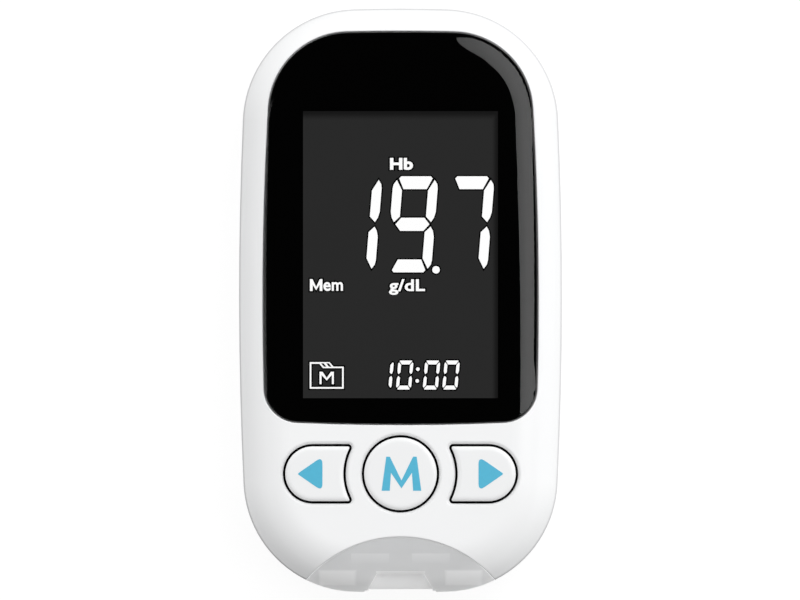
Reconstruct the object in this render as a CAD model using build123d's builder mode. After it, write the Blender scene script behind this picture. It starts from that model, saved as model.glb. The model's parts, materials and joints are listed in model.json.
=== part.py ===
"""Handheld blood test meter: housing shells, lens, display stack, keys, board, strip port and batteries.

Millimetres. The meter lies on its back: +Z points out of the display, +Y towards the top end of the case,
and the strip port is at the -Y end. The origin is at the middle of the footprint, on the resting plane.
"""

import os
from dataclasses import dataclass
from math import sqrt

from build123d import *

os.makedirs("parts", exist_ok=True)

# ---------------------------------------------------------------- case
case_length = 98.2
case_half_width = 27.15
case_thickness = 21.0
case_widest_y = 0.9
case_side_radius = 680.0
case_end_radius = 250.0
case_top_corner = 19.3
case_bottom_corner = 19.0
front_round = 8.0  # big soft edge round the display side
back_round = 5.0
wall = 1.8
parting_z = 10.5
shadow_line = 0.2
overcut = 1.0  # how far cutting shapes run past the outside
lip_height = 1.2
lip_thickness = 0.8
lip_clearance = 0.1
lip_overcut = 0.01
case_top_y = case_length / 2
case_bottom_y = -case_length / 2

# ---------------------------------------------------------------- places of the face's features
lens_side_margin = 4.15
lens_top_margin = 4.0
key_row_rise = 20.0
key_row_to_lens = 8.35
window_side_margin = 6.63
window_top_margin = 13.3
window_low_margin = 4.35
lens_half_width = case_half_width - lens_side_margin
lens_top_y = case_top_y - lens_top_margin
key_row_y = case_bottom_y + key_row_rise
lens_bottom_y = key_row_y + key_row_to_lens
lens_widest_y = 0.0
window_half_width = lens_half_width - window_side_margin
window_high_y = lens_top_y - window_top_margin
window_low_y = lens_bottom_y + window_low_margin

# ---------------------------------------------------------------- lens, print and tape
lens_side_radius = 570.0
lens_end_radius = 400.0
lens_top_corner = 13.4
lens_bottom_corner = 5.7
lens_thickness = 1.8
lens_clearance = 0.18
lens_edge_round = 0.2
lens_rim_break = 0.1
mask_thickness = 0.1
tape_thickness = 0.2
tape_inset = 0.4
ledge_thickness = 1.1
ledge_margin = 0.9
ledge_opening_margin = 0.8  # how far the ledge's opening stands clear of the visible window

# ---------------------------------------------------------------- display stack
glass_side_margin = 2.23
glass_top_margin = 1.8
front_glass_low_margin = 3.9  # the front glass overhangs here, over the rubber connector
rear_glass_low_margin = 1.5
glass_half_width = window_half_width + glass_side_margin
glass_high_y = window_high_y + glass_top_margin
glass_low_y = window_low_y - front_glass_low_margin
rear_glass_low_y = window_low_y - rear_glass_low_margin
gasket_thickness = 0.3
polariser_thickness = 0.15
glass_thickness = 0.7
guide_thickness = 1.5
reflector_thickness = 0.1
guide_inset = 0.5
guide_led_room = 1.1
film_inset = 0.3
frame_wall = 1.1
frame_clearance = 0.15
frame_rib = 0.7
frame_pin_radius = 0.45
frame_pin_margin = 4.0
led_size = (3.0, 0.8, 1.1)
led_pitch = 12.0
rubber_connector_depth = 1.7
rubber_connector_margin = 1.1

# ---------------------------------------------------------------- keys
key_gap = 0.4
key_proud = 0.4
key_edge_round = 0.6
key_rim_break = 0.4
key_travel = 0.8
memory_key_radius = 6.1
side_key_half_height = 4.6
side_key_margin = 7.8
side_key_spacing = 3.5
side_key_reach = case_half_width - side_key_margin
side_key_hollow_radius = memory_key_radius + side_key_spacing  # the inner end curves round the middle key
side_key_tip_radius = 0.25
side_key_least_radius = 0.2
key_flange_width = 0.9
key_flange_thickness = 0.8
key_flange_clearance = 0.3
key_cap_wall = 1.1
key_post_radius = 2.4
side_key_post_x = (side_key_reach + side_key_hollow_radius) / 2

mat_end_margin = 1.65
mat_side_margin = 0.7
mat_half_length = side_key_reach + mat_end_margin
mat_half_height = memory_key_radius + mat_side_margin
mat_corner = 4.8
mat_thickness = 0.8
mat_dome_foot_radius = 4.4
mat_dome_wall = 0.6
mat_plunger_radius = 2.7
mat_pill_gap = 0.05
pill_radius = 2.1
pill_thickness = 0.4

# ---------------------------------------------------------------- board, bosses and screws
board_thickness = 1.0
board_inset = 3.1
board_notch_gap = 0.3
boss_radius = 2.4
boss_hole_clearance = 0.3
boss_joint_drop = 1.6
rear_boss_radius = 3.3
top_boss_side_margin = 10.65
top_boss_end_margin = 11.3
bottom_boss_side_margin = 12.35
bottom_boss_end_margin = 9.7
board_post_margin = 5.15
top_boss_x = case_half_width - top_boss_side_margin
top_boss_y = case_top_y - top_boss_end_margin
bottom_boss_x = case_half_width - bottom_boss_side_margin
bottom_boss_y = case_bottom_y + bottom_boss_end_margin
board_post_x = case_half_width - board_post_margin
board_post_y = (window_low_y + window_high_y) / 2
board_post_radius = 1.7
screw_shaft_radius = 0.9
screw_bore_clearance = 0.05
screw_clearance = 0.2
screw_head_radius = 1.8
screw_head_height = 1.3
screw_length = 11.0
screw_tip_room = 0.5
screw_recess_radius = 2.1
screw_seat_z = 4.0
cross_slot = (2.2, 0.5, 0.8)
board_screw_shaft_radius = 0.6
board_screw_head_radius = 1.2
board_screw_head_height = 0.8
board_screw_length = 3.2
board_slot = (1.6, 0.4, 0.4)

# ---------------------------------------------------------------- strip port
port_arch_radius = 21.0
port_arch_rise = 9.35
port_arch_top_y = case_bottom_y + port_arch_rise
port_clearance = 0.08
port_flange_clearance = 0.1
port_rim_width = 1.2
port_flange_width = 1.2
port_flange_thickness = 0.9
notch_half_width = 5.75
notch_depth = 0.6
notch_slope = 0.35
notch_low_z = 2.0
slot_half_width = 3.9
slot_rise = 0.8  # how far the slot's floor stands above the board
slot_height = 1.3
funnel_half_width = 5.4
funnel_depth = 3.2
funnel_inner_y = case_bottom_y + funnel_depth
tunnel_wall = 1.2
tunnel_depth = 4.5
tunnel_inner_y = case_bottom_y + tunnel_depth
port_rib_inner_x = 2.0
port_rib_outer_x = 8.0
port_rib_rise = 5.9
port_rib_y = case_bottom_y + port_rib_rise
port_rib_thickness = 1.3
port_rib_depth = 3.4
port_rib_low_z = case_thickness - port_rib_depth
port_rib_overlap = 0.5
connector_half_width = 5.0
connector_depth = 8.0
connector_height = 3.0
connector_gap = 0.2
connector_slot_depth = 6.4
connector_lip = 1.2
strip_half_width = 3.6
strip_slot_height = 1.0
contact_count = 6
contact_pitch = 0.95
contact_width = 0.45
contact_thickness = 0.15
contact_groove_gap = 0.08
contact_tip_inset = 1.6
contact_crest_inset = 2.8
contact_foot_inset = 5.4
contact_tail_inset = 0.3
contact_rise = 0.35
port_led_size = (1.6, 0.8, 0.7)
port_led_x = 7.4
port_led_rise = 8.5
port_led_y = case_bottom_y + port_led_rise

# ---------------------------------------------------------------- battery bay and door
cell_length = 44.5
cell_nub_radius = 1.9
cell_nub_height = 1.0
cell_groove = 0.25
cell_gap = 0.7
cell_side_gap = 0.65
cell_top_gap = 0.15
cell_pad_gap = 0.2
contact_plate_thickness = 0.3
contact_plate_height = 7.0
contact_dimple_radius = 1.5
contact_dimple_height = 0.4
contact_touch_gap = 0.05
contact_tail_width = 1.6
contact_tail_gap = 0.2
spring_space = 2.75
spring_leaf_width = 4.0
spring_leaf_half_height = 3.2
bay_wall = 1.2
bay_roof_thickness = 0.5
bay_roof_gap = 0.1  # between the bay's roof and the board
bay_top_margin = 17.6
bay_high_y = case_top_y - bay_top_margin
door_side_margin = 2.0
door_latch_margin = 2.7
door_hook_margin = 6.5
door_corner = 2.6
door_thickness = 1.5
door_recess = 0.1
door_gap = 0.15
door_ledge_gap = 0.1
door_frame_margin = 1.3
door_frame_height = 1.4
hook_side_margin = 4.5
hook_width = 3.6
hook_reach = 1.6
hook_height = 1.0
hook_riser = 0.8
hook_rise_gap = 0.25
hook_side_gap = 0.3
hook_swing_room = 0.25
latch_half_width = 4.5
latch_length = 7.0
latch_slit = 0.8
latch_nib = 0.35
latch_nib_height = 0.6
latch_ridge_count = 3
latch_ridge_pitch = 1.2
latch_ridge_width = 0.5
latch_ridge_depth = 0.35
finger_scoop_radius = 12.0
finger_scoop_depth = 1.2
finger_scoop_offset = 0.8
pad_thickness = 0.35
pad_size = (18.0, 12.0)
pad_corner = 1.0

# ---------------------------------------------------------------- small parts on the board
chip_edge = 0.15
lead_reach = 0.9
lead_width = 0.35
lead_height = 0.25
lead_spacing = 0.8
processor_length = 9.0
chip_boss_gap = 0.3
crystal_x = -8.0
crystal_margin = 8.9
crystal_radius = 0.9
crystal_length = 6.0
buzzer_margin = 9.6
buzzer_radius = 4.5
buzzer_height = 2.4
buzzer_hole_radius = 0.9
buzzer_hole_depth = 0.8
capacitor_size = (1.0, 1.8, 0.6)
capacitor_pitch_x = 1.8
capacitor_pitch_y = 3.6

# ---------------------------------------------------------------- heights worked out from the sizes above
SEATED = (Align.CENTER, Align.CENTER, Align.MIN)
HANGING = (Align.CENTER, Align.CENTER, Align.MAX)
lens_bottom_z = case_thickness - lens_thickness
mask_bottom_z = lens_bottom_z - mask_thickness
ledge_top_z = mask_bottom_z - tape_thickness
ledge_bottom_z = ledge_top_z - ledge_thickness
glass_top_z = ledge_bottom_z - gasket_thickness - polariser_thickness
glass_joint_z = glass_top_z - glass_thickness
glass_bottom_z = glass_joint_z - glass_thickness
guide_top_z = glass_bottom_z - polariser_thickness
guide_bottom_z = guide_top_z - guide_thickness
board_top_z = guide_bottom_z - reflector_thickness
board_bottom_z = board_top_z - board_thickness
slot_low_z = board_top_z + slot_rise
wall_under_z = case_thickness - wall
key_flange_top_z = wall_under_z - key_flange_clearance
key_bottom_z = key_flange_top_z - key_flange_thickness
key_top_z = case_thickness + key_proud
key_rim_z = case_thickness - 3 * key_rim_break
mat_top_z = board_top_z + mat_thickness
pill_bottom_z = board_top_z + key_travel
pill_top_z = pill_bottom_z + pill_thickness
dome_height = pill_top_z - board_top_z
boss_joint_z = board_bottom_z - boss_joint_drop
screw_tip_z = screw_seat_z + screw_length
strip_slot_z = slot_low_z + (slot_height - strip_slot_height) / 2
door_top_z = door_recess + door_thickness
bay_roof_z = board_bottom_z - bay_roof_gap - bay_roof_thickness
cell_radius = (bay_roof_z - cell_top_gap - cell_pad_gap - pad_thickness - door_top_z) / 2
cell_axis_z = bay_roof_z - cell_top_gap - cell_radius
ledge_z = door_top_z + door_ledge_gap
hook_low_z = wall + hook_rise_gap
hook_top_z = hook_low_z + hook_height

# ---------------------------------------------------------------- places worked out from the sizes above
key_posts = [(-side_key_post_x, key_row_y), (0.0, key_row_y), (side_key_post_x, key_row_y)]
case_bosses = [
    (side * x, y) for x, y in ((top_boss_x, top_boss_y), (bottom_boss_x, bottom_boss_y)) for side in (-1, 1)
]
board_posts = [(side * board_post_x, board_post_y) for side in (-1, 1)]
arch_centre_y = port_arch_top_y - port_arch_radius
frame_inner_x = glass_half_width + frame_clearance
frame_outer_x = frame_inner_x + frame_wall
frame_low_y = glass_low_y - frame_clearance
frame_high_y = glass_high_y + frame_clearance
frame_pins = [
    (side * (frame_inner_x + frame_wall / 2), y)
    for side in (-1, 1)
    for y in (window_low_y + frame_pin_margin, window_high_y - frame_pin_margin)
]
guide_high_y = glass_high_y - guide_led_room
led_y = glass_high_y - guide_led_room / 2
rubber_connector_y = rear_glass_low_y - frame_rib / 2 - frame_clearance
tunnel_half_width = slot_half_width + tunnel_wall
connector_low_y = tunnel_inner_y + connector_gap
connector_high_y = connector_low_y + connector_depth
contact_xs = [contact_pitch * (n - (contact_count - 1) / 2) for n in range(contact_count)]
cell_x = cell_radius + cell_gap / 2
nub_space = contact_plate_thickness + contact_dimple_height + contact_touch_gap
bay_half_width = cell_x + cell_radius + cell_side_gap
bay_low_y = bay_high_y - cell_length - nub_space - spring_space
door_half_width = bay_half_width + door_side_margin
door_high_y = bay_high_y + door_latch_margin
door_low_y = bay_low_y - door_hook_margin
hinge_y = door_low_y - door_gap
hook_x = door_half_width - hook_side_margin - hook_width / 2
riser_y = door_low_y + hook_riser
hook_swing_y = hinge_y + sqrt((riser_y - hinge_y) ** 2 + hook_top_z**2) + hook_swing_room
hook_swing_z = sqrt((hook_reach + door_gap) ** 2 + hook_top_z**2) + hook_swing_room
chip_row_y = bottom_boss_y + boss_radius + chip_boss_gap + processor_length / 2
crystal_y = case_top_y - crystal_margin
buzzer_y = case_top_y - buzzer_margin
capacitor_group_xs = [2.6, 14.8]


@dataclass(frozen=True)
class Chip:
    """A packaged chip on the underside of the board, with a row of leads on each long side."""

    name: str
    x: float
    width: float
    length: float
    height: float
    lead_count: int


chips = [
    Chip("processor_chip", -6.5, 7.0, processor_length, 1.1, lead_count=10),
    Chip("amplifier_chip", 9.0, 3.9, 5.0, 1.1, lead_count=4),
]


@dataclass(frozen=True)
class BowedOutline:
    """A rectangle with slightly bowed sides and ends and round corners, all arcs tangent to each other."""

    half_width: float
    widest_y: float
    top_y: float
    bottom_y: float
    side_radius: float
    end_radius: float
    top_corner: float
    bottom_corner: float

    def right_corner(self, end_y, corner_radius, inset):
        """Where the corner arc meets the side arc, its middle, and where it meets the end arc."""
        up = 1 if end_y > self.widest_y else -1
        side_centre = Vector(self.half_width - self.side_radius, self.widest_y)
        end_centre = Vector(0, end_y - up * self.end_radius)
        to_side = self.side_radius - corner_radius
        to_end = self.end_radius - corner_radius
        apart = end_centre - side_centre
        along = (to_side**2 - to_end**2 + apart.length**2) / (2 * apart.length)
        across = sqrt(to_side**2 - along**2)
        direction = apart.normalized()
        normal = Vector(-direction.Y, direction.X)
        both = [side_centre + direction * along + normal * (s * across) for s in (-1, 1)]
        centre = max(both, key=lambda point: up * point.Y)
        on_side = side_centre + (centre - side_centre).normalized() * (self.side_radius - inset)
        on_end = end_centre + (centre - end_centre).normalized() * (self.end_radius - inset)
        outwards = (on_side - centre).normalized() + (on_end - centre).normalized()
        middle = centre + outwards.normalized() * (corner_radius - inset)
        return on_side, middle, on_end

    def face(self, inset=0.0, mode=Mode.ADD):
        """Draws the outline, moved inwards by inset, as a face of the current sketch."""
        top = self.right_corner(self.top_y, self.top_corner, inset)
        low = self.right_corner(self.bottom_y, self.bottom_corner, inset)
        left_top = [Vector(-p.X, p.Y) for p in top]
        left_low = [Vector(-p.X, p.Y) for p in low]
        with BuildLine() as path:
            ThreePointArc(left_top[2], (0, self.top_y - inset), top[2])
            ThreePointArc(top[2], top[1], top[0])
            ThreePointArc(top[0], (self.half_width - inset, self.widest_y), low[0])
            ThreePointArc(low[0], low[1], low[2])
            ThreePointArc(low[2], (0, self.bottom_y + inset), left_low[2])
            ThreePointArc(left_low[2], left_low[1], left_low[0])
            ThreePointArc(left_low[0], (-self.half_width + inset, self.widest_y), left_top[0])
            ThreePointArc(left_top[0], left_top[1], left_top[2])
        make_face(path.edges(), mode=mode)


case_outline = BowedOutline(
    case_half_width,
    case_widest_y,
    case_top_y,
    case_bottom_y,
    case_side_radius,
    case_end_radius,
    case_top_corner,
    case_bottom_corner,
)
lens_outline = BowedOutline(
    lens_half_width,
    lens_widest_y,
    lens_top_y,
    lens_bottom_y,
    lens_side_radius,
    lens_end_radius,
    lens_top_corner,
    lens_bottom_corner,
)


def case_form(inset):
    """The whole meter's soft outer form as one solid, moved inwards by inset on every side."""
    with BuildPart() as form:
        with BuildSketch(Plane.XY.offset(inset)):
            case_outline.face(inset)
        extrude(amount=case_thickness - 2 * inset)
        fillet(form.edges().group_by(Axis.Z)[-1], front_round - inset)
        fillet(form.edges().group_by(Axis.Z)[0], back_round - inset)
    return form.part


def side_key_face(side, grow=0.0):
    """Draws the left (-1) or right (1) key, grown outwards by grow, in the current sketch."""
    half_height = side_key_half_height + grow
    end_x = side_key_reach - side_key_half_height
    with Locations((side * end_x, key_row_y)):
        Circle(half_height)
    with Locations((side * end_x / 2, key_row_y)):
        Rectangle(end_x, 2 * half_height)
    with Locations((0, key_row_y)):
        Circle(side_key_hollow_radius - grow, mode=Mode.SUBTRACT)
    tips = vertices().sort_by(lambda v: abs(v.X))[:2]
    fillet(tips, max(side_key_tip_radius + grow, side_key_least_radius))


def memory_key_face(grow=0.0):
    """Draws the round middle key, grown outwards by grow, in the current sketch."""
    with Locations((0, key_row_y)):
        Circle(memory_key_radius + grow)


def span_rectangle(half_width, low_y, high_y, mode=Mode.ADD):
    """Draws a rectangle that is centred on X and runs from low_y to high_y, in the current sketch."""
    with Locations((0, (low_y + high_y) / 2)):
        Rectangle(2 * half_width, high_y - low_y, mode=mode)


def block(x_span, y_span, z_span, mode=Mode.ADD):
    """Adds a box between the given limits to the current part."""
    middle = [(low + high) / 2 for low, high in (x_span, y_span, z_span)]
    size = [high - low for low, high in (x_span, y_span, z_span)]
    with Locations(tuple(middle)):
        Box(*size, mode=mode)


def above(z):
    """Gives a test that passes edges lying wholly above the height z."""
    return lambda edge: edge.bounding_box().min.Z > z


def contact_plate(x):
    """Adds a flat plate with a solder tail, against the bay's lower end wall at x, to the current part."""
    y_span = (bay_low_y, bay_low_y + contact_plate_thickness)
    block(around(x, contact_plate_height / 2), y_span, around(cell_axis_z, contact_plate_height / 2))
    block(around(x, contact_tail_width / 2), y_span, (cell_axis_z, board_bottom_z))


def contact_dimple(x, plate_y, facing):
    """Adds the rounded bump that meets a cell's nub; facing is the side of the plate it stands on."""
    sphere_radius = (contact_dimple_radius**2 + contact_dimple_height**2) / (2 * contact_dimple_height)
    with BuildSketch(Plane.XY.offset(cell_axis_z)) as half_bump:
        with BuildLine():
            base = (x, plate_y)
            rim = (x + contact_dimple_radius, plate_y)
            crown = (x, plate_y + facing * contact_dimple_height)
            Line(base, rim)
            RadiusArc(rim, crown, sphere_radius if facing < 0 else -sphere_radius)
            Line(crown, base)
        make_face()
    revolve(half_bump.sketch, axis=Axis((x, plate_y, cell_axis_z), (0, 1, 0)))


def contact_leaf(x, plate_y, facing):
    """Adds the bowed leaf that meets a cell's flat end; facing is the side of the plate it stands on."""
    bow = spring_space - contact_plate_thickness - contact_touch_gap
    half = spring_leaf_half_height
    low, high = cell_axis_z - half, cell_axis_z + half
    inner_y = plate_y + facing * (bow - contact_plate_thickness)
    thick = facing * contact_plate_thickness
    with BuildSketch(Plane.YZ.offset(x - spring_leaf_width / 2)) as bow_side:
        with BuildLine():
            ThreePointArc((plate_y, low), (inner_y + thick, cell_axis_z), (plate_y, high))
            Line((plate_y, high), (plate_y, high - 2 * contact_plate_thickness))
            ThreePointArc(
                (plate_y, high - 2 * contact_plate_thickness),
                (inner_y, cell_axis_z),
                (plate_y, low + 2 * contact_plate_thickness),
            )
            Line((plate_y, low + 2 * contact_plate_thickness), (plate_y, low))
        make_face()
    extrude(bow_side.sketch, amount=spring_leaf_width)


def around(middle, reach):
    """The limits of a stretch that reaches equally far to both sides of its middle."""
    return middle - reach, middle + reach


def save(piece, name):
    """Labels a finished piece with its name and writes its STEP file."""
    piece.part.label = name
    export_step(piece.part, f"parts/{name}.step")


outer_form = case_form(0.0)
inner_form = case_form(wall)
key_room_form = case_form(wall + key_flange_clearance)
port_flange_top_form = case_form(wall + port_flange_clearance)
port_flange_low_form = case_form(wall + port_flange_clearance + port_flange_thickness)

# shallow notch across the case's end, in both the rear cover and the strip port
with BuildPart() as strip_notch:
    with BuildSketch(Plane.XY.offset(notch_low_z)):
        with BuildLine():
            Polyline(
                (-notch_half_width - notch_slope, case_bottom_y - overcut),
                (-notch_half_width - notch_slope, case_bottom_y),
                (-notch_half_width, case_bottom_y + notch_depth),
                (notch_half_width, case_bottom_y + notch_depth),
                (notch_half_width + notch_slope, case_bottom_y),
                (notch_half_width + notch_slope, case_bottom_y - overcut),
                close=True,
            )
        make_face()
    extrude(amount=slot_low_z - notch_low_z)

# ---------------------------------------------------------------- inner pieces of the strip port
with BuildPart() as port_rim:
    add(outer_form)
    add(port_flange_low_form, mode=Mode.SUBTRACT)
    with Locations((0, arch_centre_y, parting_z)):
        Cylinder(port_arch_radius - port_rim_width, case_thickness, align=SEATED, mode=Mode.SUBTRACT)
    split(bisect_by=Plane.XY.offset(parting_z), keep=Keep.TOP)

with BuildPart() as port_flange:
    add(port_flange_top_form)
    add(port_flange_low_form, mode=Mode.SUBTRACT)
    with Locations((0, arch_centre_y, parting_z)):
        Cylinder(port_arch_radius + port_flange_width, case_thickness, align=SEATED, mode=Mode.INTERSECT)
    with Locations((0, arch_centre_y, parting_z)):
        Cylinder(port_arch_radius - port_rim_width, case_thickness, align=SEATED, mode=Mode.SUBTRACT)

with BuildPart() as port_tunnel:
    block(
        around(0, tunnel_half_width),
        (case_bottom_y, tunnel_inner_y),
        (slot_low_z - tunnel_wall, case_thickness),
    )
    # two bent ribs that stiffen the translucent wall from behind
    for side in (-1, 1):
        bar = sorted((side * port_rib_inner_x, side * port_rib_outer_x))
        leg = sorted((side * (port_rib_outer_x - port_rib_thickness), side * port_rib_outer_x))
        block(bar, around(port_rib_y, port_rib_thickness / 2), (port_rib_low_z, case_thickness))
        block(leg, (tunnel_inner_y - port_rib_overlap, port_rib_y), (port_rib_low_z, case_thickness))
    add(outer_form, mode=Mode.INTERSECT)

# ---------------------------------------------------------------- front cover
with BuildPart() as lens_ledge:
    with BuildSketch(Plane.XY.offset(ledge_bottom_z)):
        lens_outline.face(-ledge_margin)
    extrude(amount=case_thickness - ledge_bottom_z)
    add(outer_form, mode=Mode.INTERSECT)

with BuildPart() as front_cover:
    add(outer_form)
    add(inner_form, mode=Mode.SUBTRACT)
    split(bisect_by=Plane.XY.offset(parting_z), keep=Keep.TOP)
    add(lens_ledge.part)
    # screw bosses that stand on the board's edge holes, and posts that carry the board
    with BuildSketch(Plane.XY.offset(boss_joint_z)):
        with Locations(*case_bosses):
            Circle(boss_radius)
    extrude(amount=wall_under_z - boss_joint_z)
    with BuildSketch(Plane.XY.offset(board_top_z)):
        with Locations(*board_posts):
            Circle(board_post_radius)
    extrude(amount=ledge_bottom_z - board_top_z)
    # lens seat, display window and key holes
    with BuildSketch(Plane.XY.offset(ledge_top_z)):
        lens_outline.face(-lens_clearance)
    extrude(amount=case_thickness, mode=Mode.SUBTRACT)
    chamfer(front_cover.edges(Select.LAST).filter_by(above(lens_bottom_z)), lens_rim_break)
    with BuildSketch(Plane.XY.offset(ledge_bottom_z)):
        span_rectangle(
            window_half_width + ledge_opening_margin,
            window_low_y - ledge_opening_margin,
            window_high_y + ledge_opening_margin,
        )
    extrude(amount=ledge_thickness, mode=Mode.SUBTRACT)
    with BuildSketch(Plane.XY.offset(key_bottom_z)):
        memory_key_face(key_gap)
    extrude(amount=case_thickness, mode=Mode.SUBTRACT)
    chamfer(front_cover.edges(Select.LAST).filter_by(above(key_rim_z)), key_rim_break)
    for side in (-1, 1):
        with BuildSketch(Plane.XY.offset(key_bottom_z)):
            side_key_face(side, key_gap)
        extrude(amount=case_thickness, mode=Mode.SUBTRACT)
        chamfer(front_cover.edges(Select.LAST).filter_by(above(key_rim_z)), key_rim_break)
    # arched mouth for the strip port, and the groove that takes the rear cover's lip
    with Locations((0, arch_centre_y, parting_z)):
        Cylinder(port_arch_radius + port_clearance, case_thickness, align=SEATED, mode=Mode.SUBTRACT)
    with BuildSketch(Plane.XY.offset(parting_z)):
        case_outline.face(wall - lip_thickness - lip_clearance)
        case_outline.face(wall + lip_overcut, mode=Mode.SUBTRACT)
    extrude(amount=lip_height + lip_clearance, mode=Mode.SUBTRACT)
    # pilot bores
    with BuildSketch(Plane.XY.offset(boss_joint_z)):
        with Locations(*case_bosses):
            Circle(screw_shaft_radius + screw_bore_clearance)
    extrude(amount=screw_tip_z + screw_tip_room - boss_joint_z, mode=Mode.SUBTRACT)
    with BuildSketch(Plane.XY.offset(board_top_z)):
        with Locations(*board_posts):
            Circle(board_screw_shaft_radius + screw_bore_clearance)
    extrude(amount=board_screw_length - board_thickness + screw_tip_room, mode=Mode.SUBTRACT)

save(front_cover, "front_cover")

# ---------------------------------------------------------------- rear cover with its battery bay
with BuildPart() as rear_inside:
    # frame round the door opening, and the bay's walls and roof
    block(
        around(0, door_half_width + door_gap + door_frame_margin),
        (hinge_y - door_frame_margin, door_high_y + door_gap + door_frame_margin),
        (0, ledge_z + door_frame_height),
    )
    block(
        around(0, bay_half_width + bay_wall),
        (bay_low_y - bay_wall, bay_high_y + bay_wall),
        (ledge_z, bay_roof_z + bay_roof_thickness),
    )
    with BuildSketch():
        with Locations(*case_bosses):
            Circle(rear_boss_radius)
    extrude(amount=boss_joint_z)
    add(outer_form, mode=Mode.INTERSECT)

with BuildPart() as rear_cover:
    add(outer_form)
    add(inner_form, mode=Mode.SUBTRACT)
    split(bisect_by=Plane.XY.offset(parting_z), keep=Keep.BOTTOM)
    # lip that locates the front cover, left out at the strip port's mouth
    with BuildSketch(Plane.XY.offset(parting_z - lip_height)):
        case_outline.face(wall - lip_thickness)
        case_outline.face(wall, mode=Mode.SUBTRACT)
    extrude(amount=2 * lip_height)
    with Locations((0, arch_centre_y, parting_z)):
        Cylinder(port_arch_radius + port_clearance, case_thickness, align=SEATED, mode=Mode.SUBTRACT)
    add(rear_inside.part)
    # shadow line along the parting
    with BuildSketch(Plane.XY.offset(parting_z)):
        case_outline.face(-overcut)
        case_outline.face(shadow_line, mode=Mode.SUBTRACT)
    extrude(amount=-shadow_line, mode=Mode.SUBTRACT)
    # door opening, battery bay, hook pockets and latch
    with BuildSketch():
        span_rectangle(door_half_width + door_gap, hinge_y, door_high_y + door_gap)
        fillet(vertices(), door_corner + door_gap)
        with Locations((0, door_high_y)):
            Rectangle(2 * (latch_half_width + door_gap), 2 * (latch_nib + door_gap))
    extrude(amount=ledge_z, mode=Mode.SUBTRACT)
    block(
        around(0, bay_half_width),
        (bay_low_y, bay_high_y),
        (ledge_z, bay_roof_z),
        mode=Mode.SUBTRACT,
    )
    for side in (-1, 1):
        block(
            around(side * hook_x, hook_width / 2 + hook_side_gap),
            (hinge_y - hook_reach - hook_swing_room, hook_swing_y),
            (ledge_z, hook_swing_z),
            mode=Mode.SUBTRACT,
        )
        block(
            around(side * cell_x, contact_tail_width / 2 + contact_tail_gap),
            (bay_low_y, bay_low_y + contact_plate_thickness + contact_tail_gap),
            (bay_roof_z, board_bottom_z),
            mode=Mode.SUBTRACT,
        )
    with Locations((0, door_high_y + finger_scoop_offset, finger_scoop_depth - finger_scoop_radius)):
        Sphere(finger_scoop_radius, mode=Mode.SUBTRACT)
    # screw recesses and shafts
    with BuildSketch():
        with Locations(*case_bosses):
            Circle(screw_recess_radius)
    extrude(amount=screw_seat_z, mode=Mode.SUBTRACT)
    with BuildSketch():
        with Locations(*case_bosses):
            Circle(screw_shaft_radius + screw_clearance)
    extrude(amount=boss_joint_z, mode=Mode.SUBTRACT)
    # lower half of the notch that leads a strip into the port
    add(strip_notch.part, mode=Mode.SUBTRACT)

save(rear_cover, "rear_cover")

# ---------------------------------------------------------------- battery door
with BuildPart() as battery_door:
    with BuildSketch(Plane.XY.offset(door_recess)):
        span_rectangle(door_half_width, door_low_y, door_high_y)
        fillet(vertices(), door_corner)
        with Locations((0, door_high_y)):
            Rectangle(2 * latch_half_width, 2 * latch_nib)
        # slits that free the latch tongue
        for side in (-1, 1):
            with Locations((side * (latch_half_width + latch_slit / 2), door_high_y)):
                Rectangle(latch_slit, 2 * latch_length, mode=Mode.SUBTRACT)
    extrude(amount=door_thickness)
    # only the inner edge of the latch tongue stands out as a nib
    block(
        around(0, latch_half_width),
        (door_high_y, door_high_y + 2 * latch_nib),
        (door_recess, door_top_z - latch_nib_height),
        mode=Mode.SUBTRACT,
    )
    # hooks that reach over the edge of the opening
    for side in (-1, 1):
        x_span = around(side * hook_x, hook_width / 2)
        block(x_span, (door_low_y, riser_y), (door_top_z, hook_top_z))
        block(x_span, (hinge_y - hook_reach, riser_y), (hook_low_z, hook_top_z))
    # grip ridges across the latch
    with Locations((0, door_high_y - latch_length / 2, door_recess)):
        with GridLocations(1, latch_ridge_pitch, 1, latch_ridge_count):
            Box(
                2 * latch_half_width - 4 * latch_ridge_width,
                latch_ridge_width,
                latch_ridge_depth,
                align=SEATED,
                mode=Mode.SUBTRACT,
            )

save(battery_door, "battery_door")

with BuildPart() as battery_door_pad:
    with BuildSketch(Plane.XY.offset(door_top_z)):
        with Locations((0, (bay_low_y + bay_high_y) / 2)):
            RectangleRounded(*pad_size, radius=pad_corner)
    extrude(amount=pad_thickness)

save(battery_door_pad, "battery_door_pad")

# ---------------------------------------------------------------- cells and their contacts
body_length = cell_length - cell_nub_height
sleeve_radius = cell_radius - cell_groove
for name, side in (("battery_left", 1), ("battery_right", -1)):
    # the left cell's nub points up the case, the right cell's nub points down
    flat_end_y = bay_low_y + spring_space if side == 1 else bay_high_y - spring_space
    flat_end = Plane(origin=(-side * cell_x, flat_end_y, cell_axis_z), x_dir=(1, 0, 0), z_dir=(0, 0, side))
    with BuildPart() as cell:
        with BuildSketch(flat_end):
            with BuildLine():
                Polyline(
                    (0, 0),
                    (sleeve_radius, 0),
                    (sleeve_radius, 2 * cell_groove),
                    (cell_radius, 3 * cell_groove),
                    (cell_radius, body_length - 3 * cell_groove),
                    (sleeve_radius, body_length - 2 * cell_groove),
                    (sleeve_radius, body_length),
                    (cell_nub_radius, body_length),
                    (cell_nub_radius, cell_length),
                    (0, cell_length),
                    close=True,
                )
            make_face()
        revolve(axis=Axis(flat_end.origin, (0, 1, 0)))
    save(cell, name)

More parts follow.
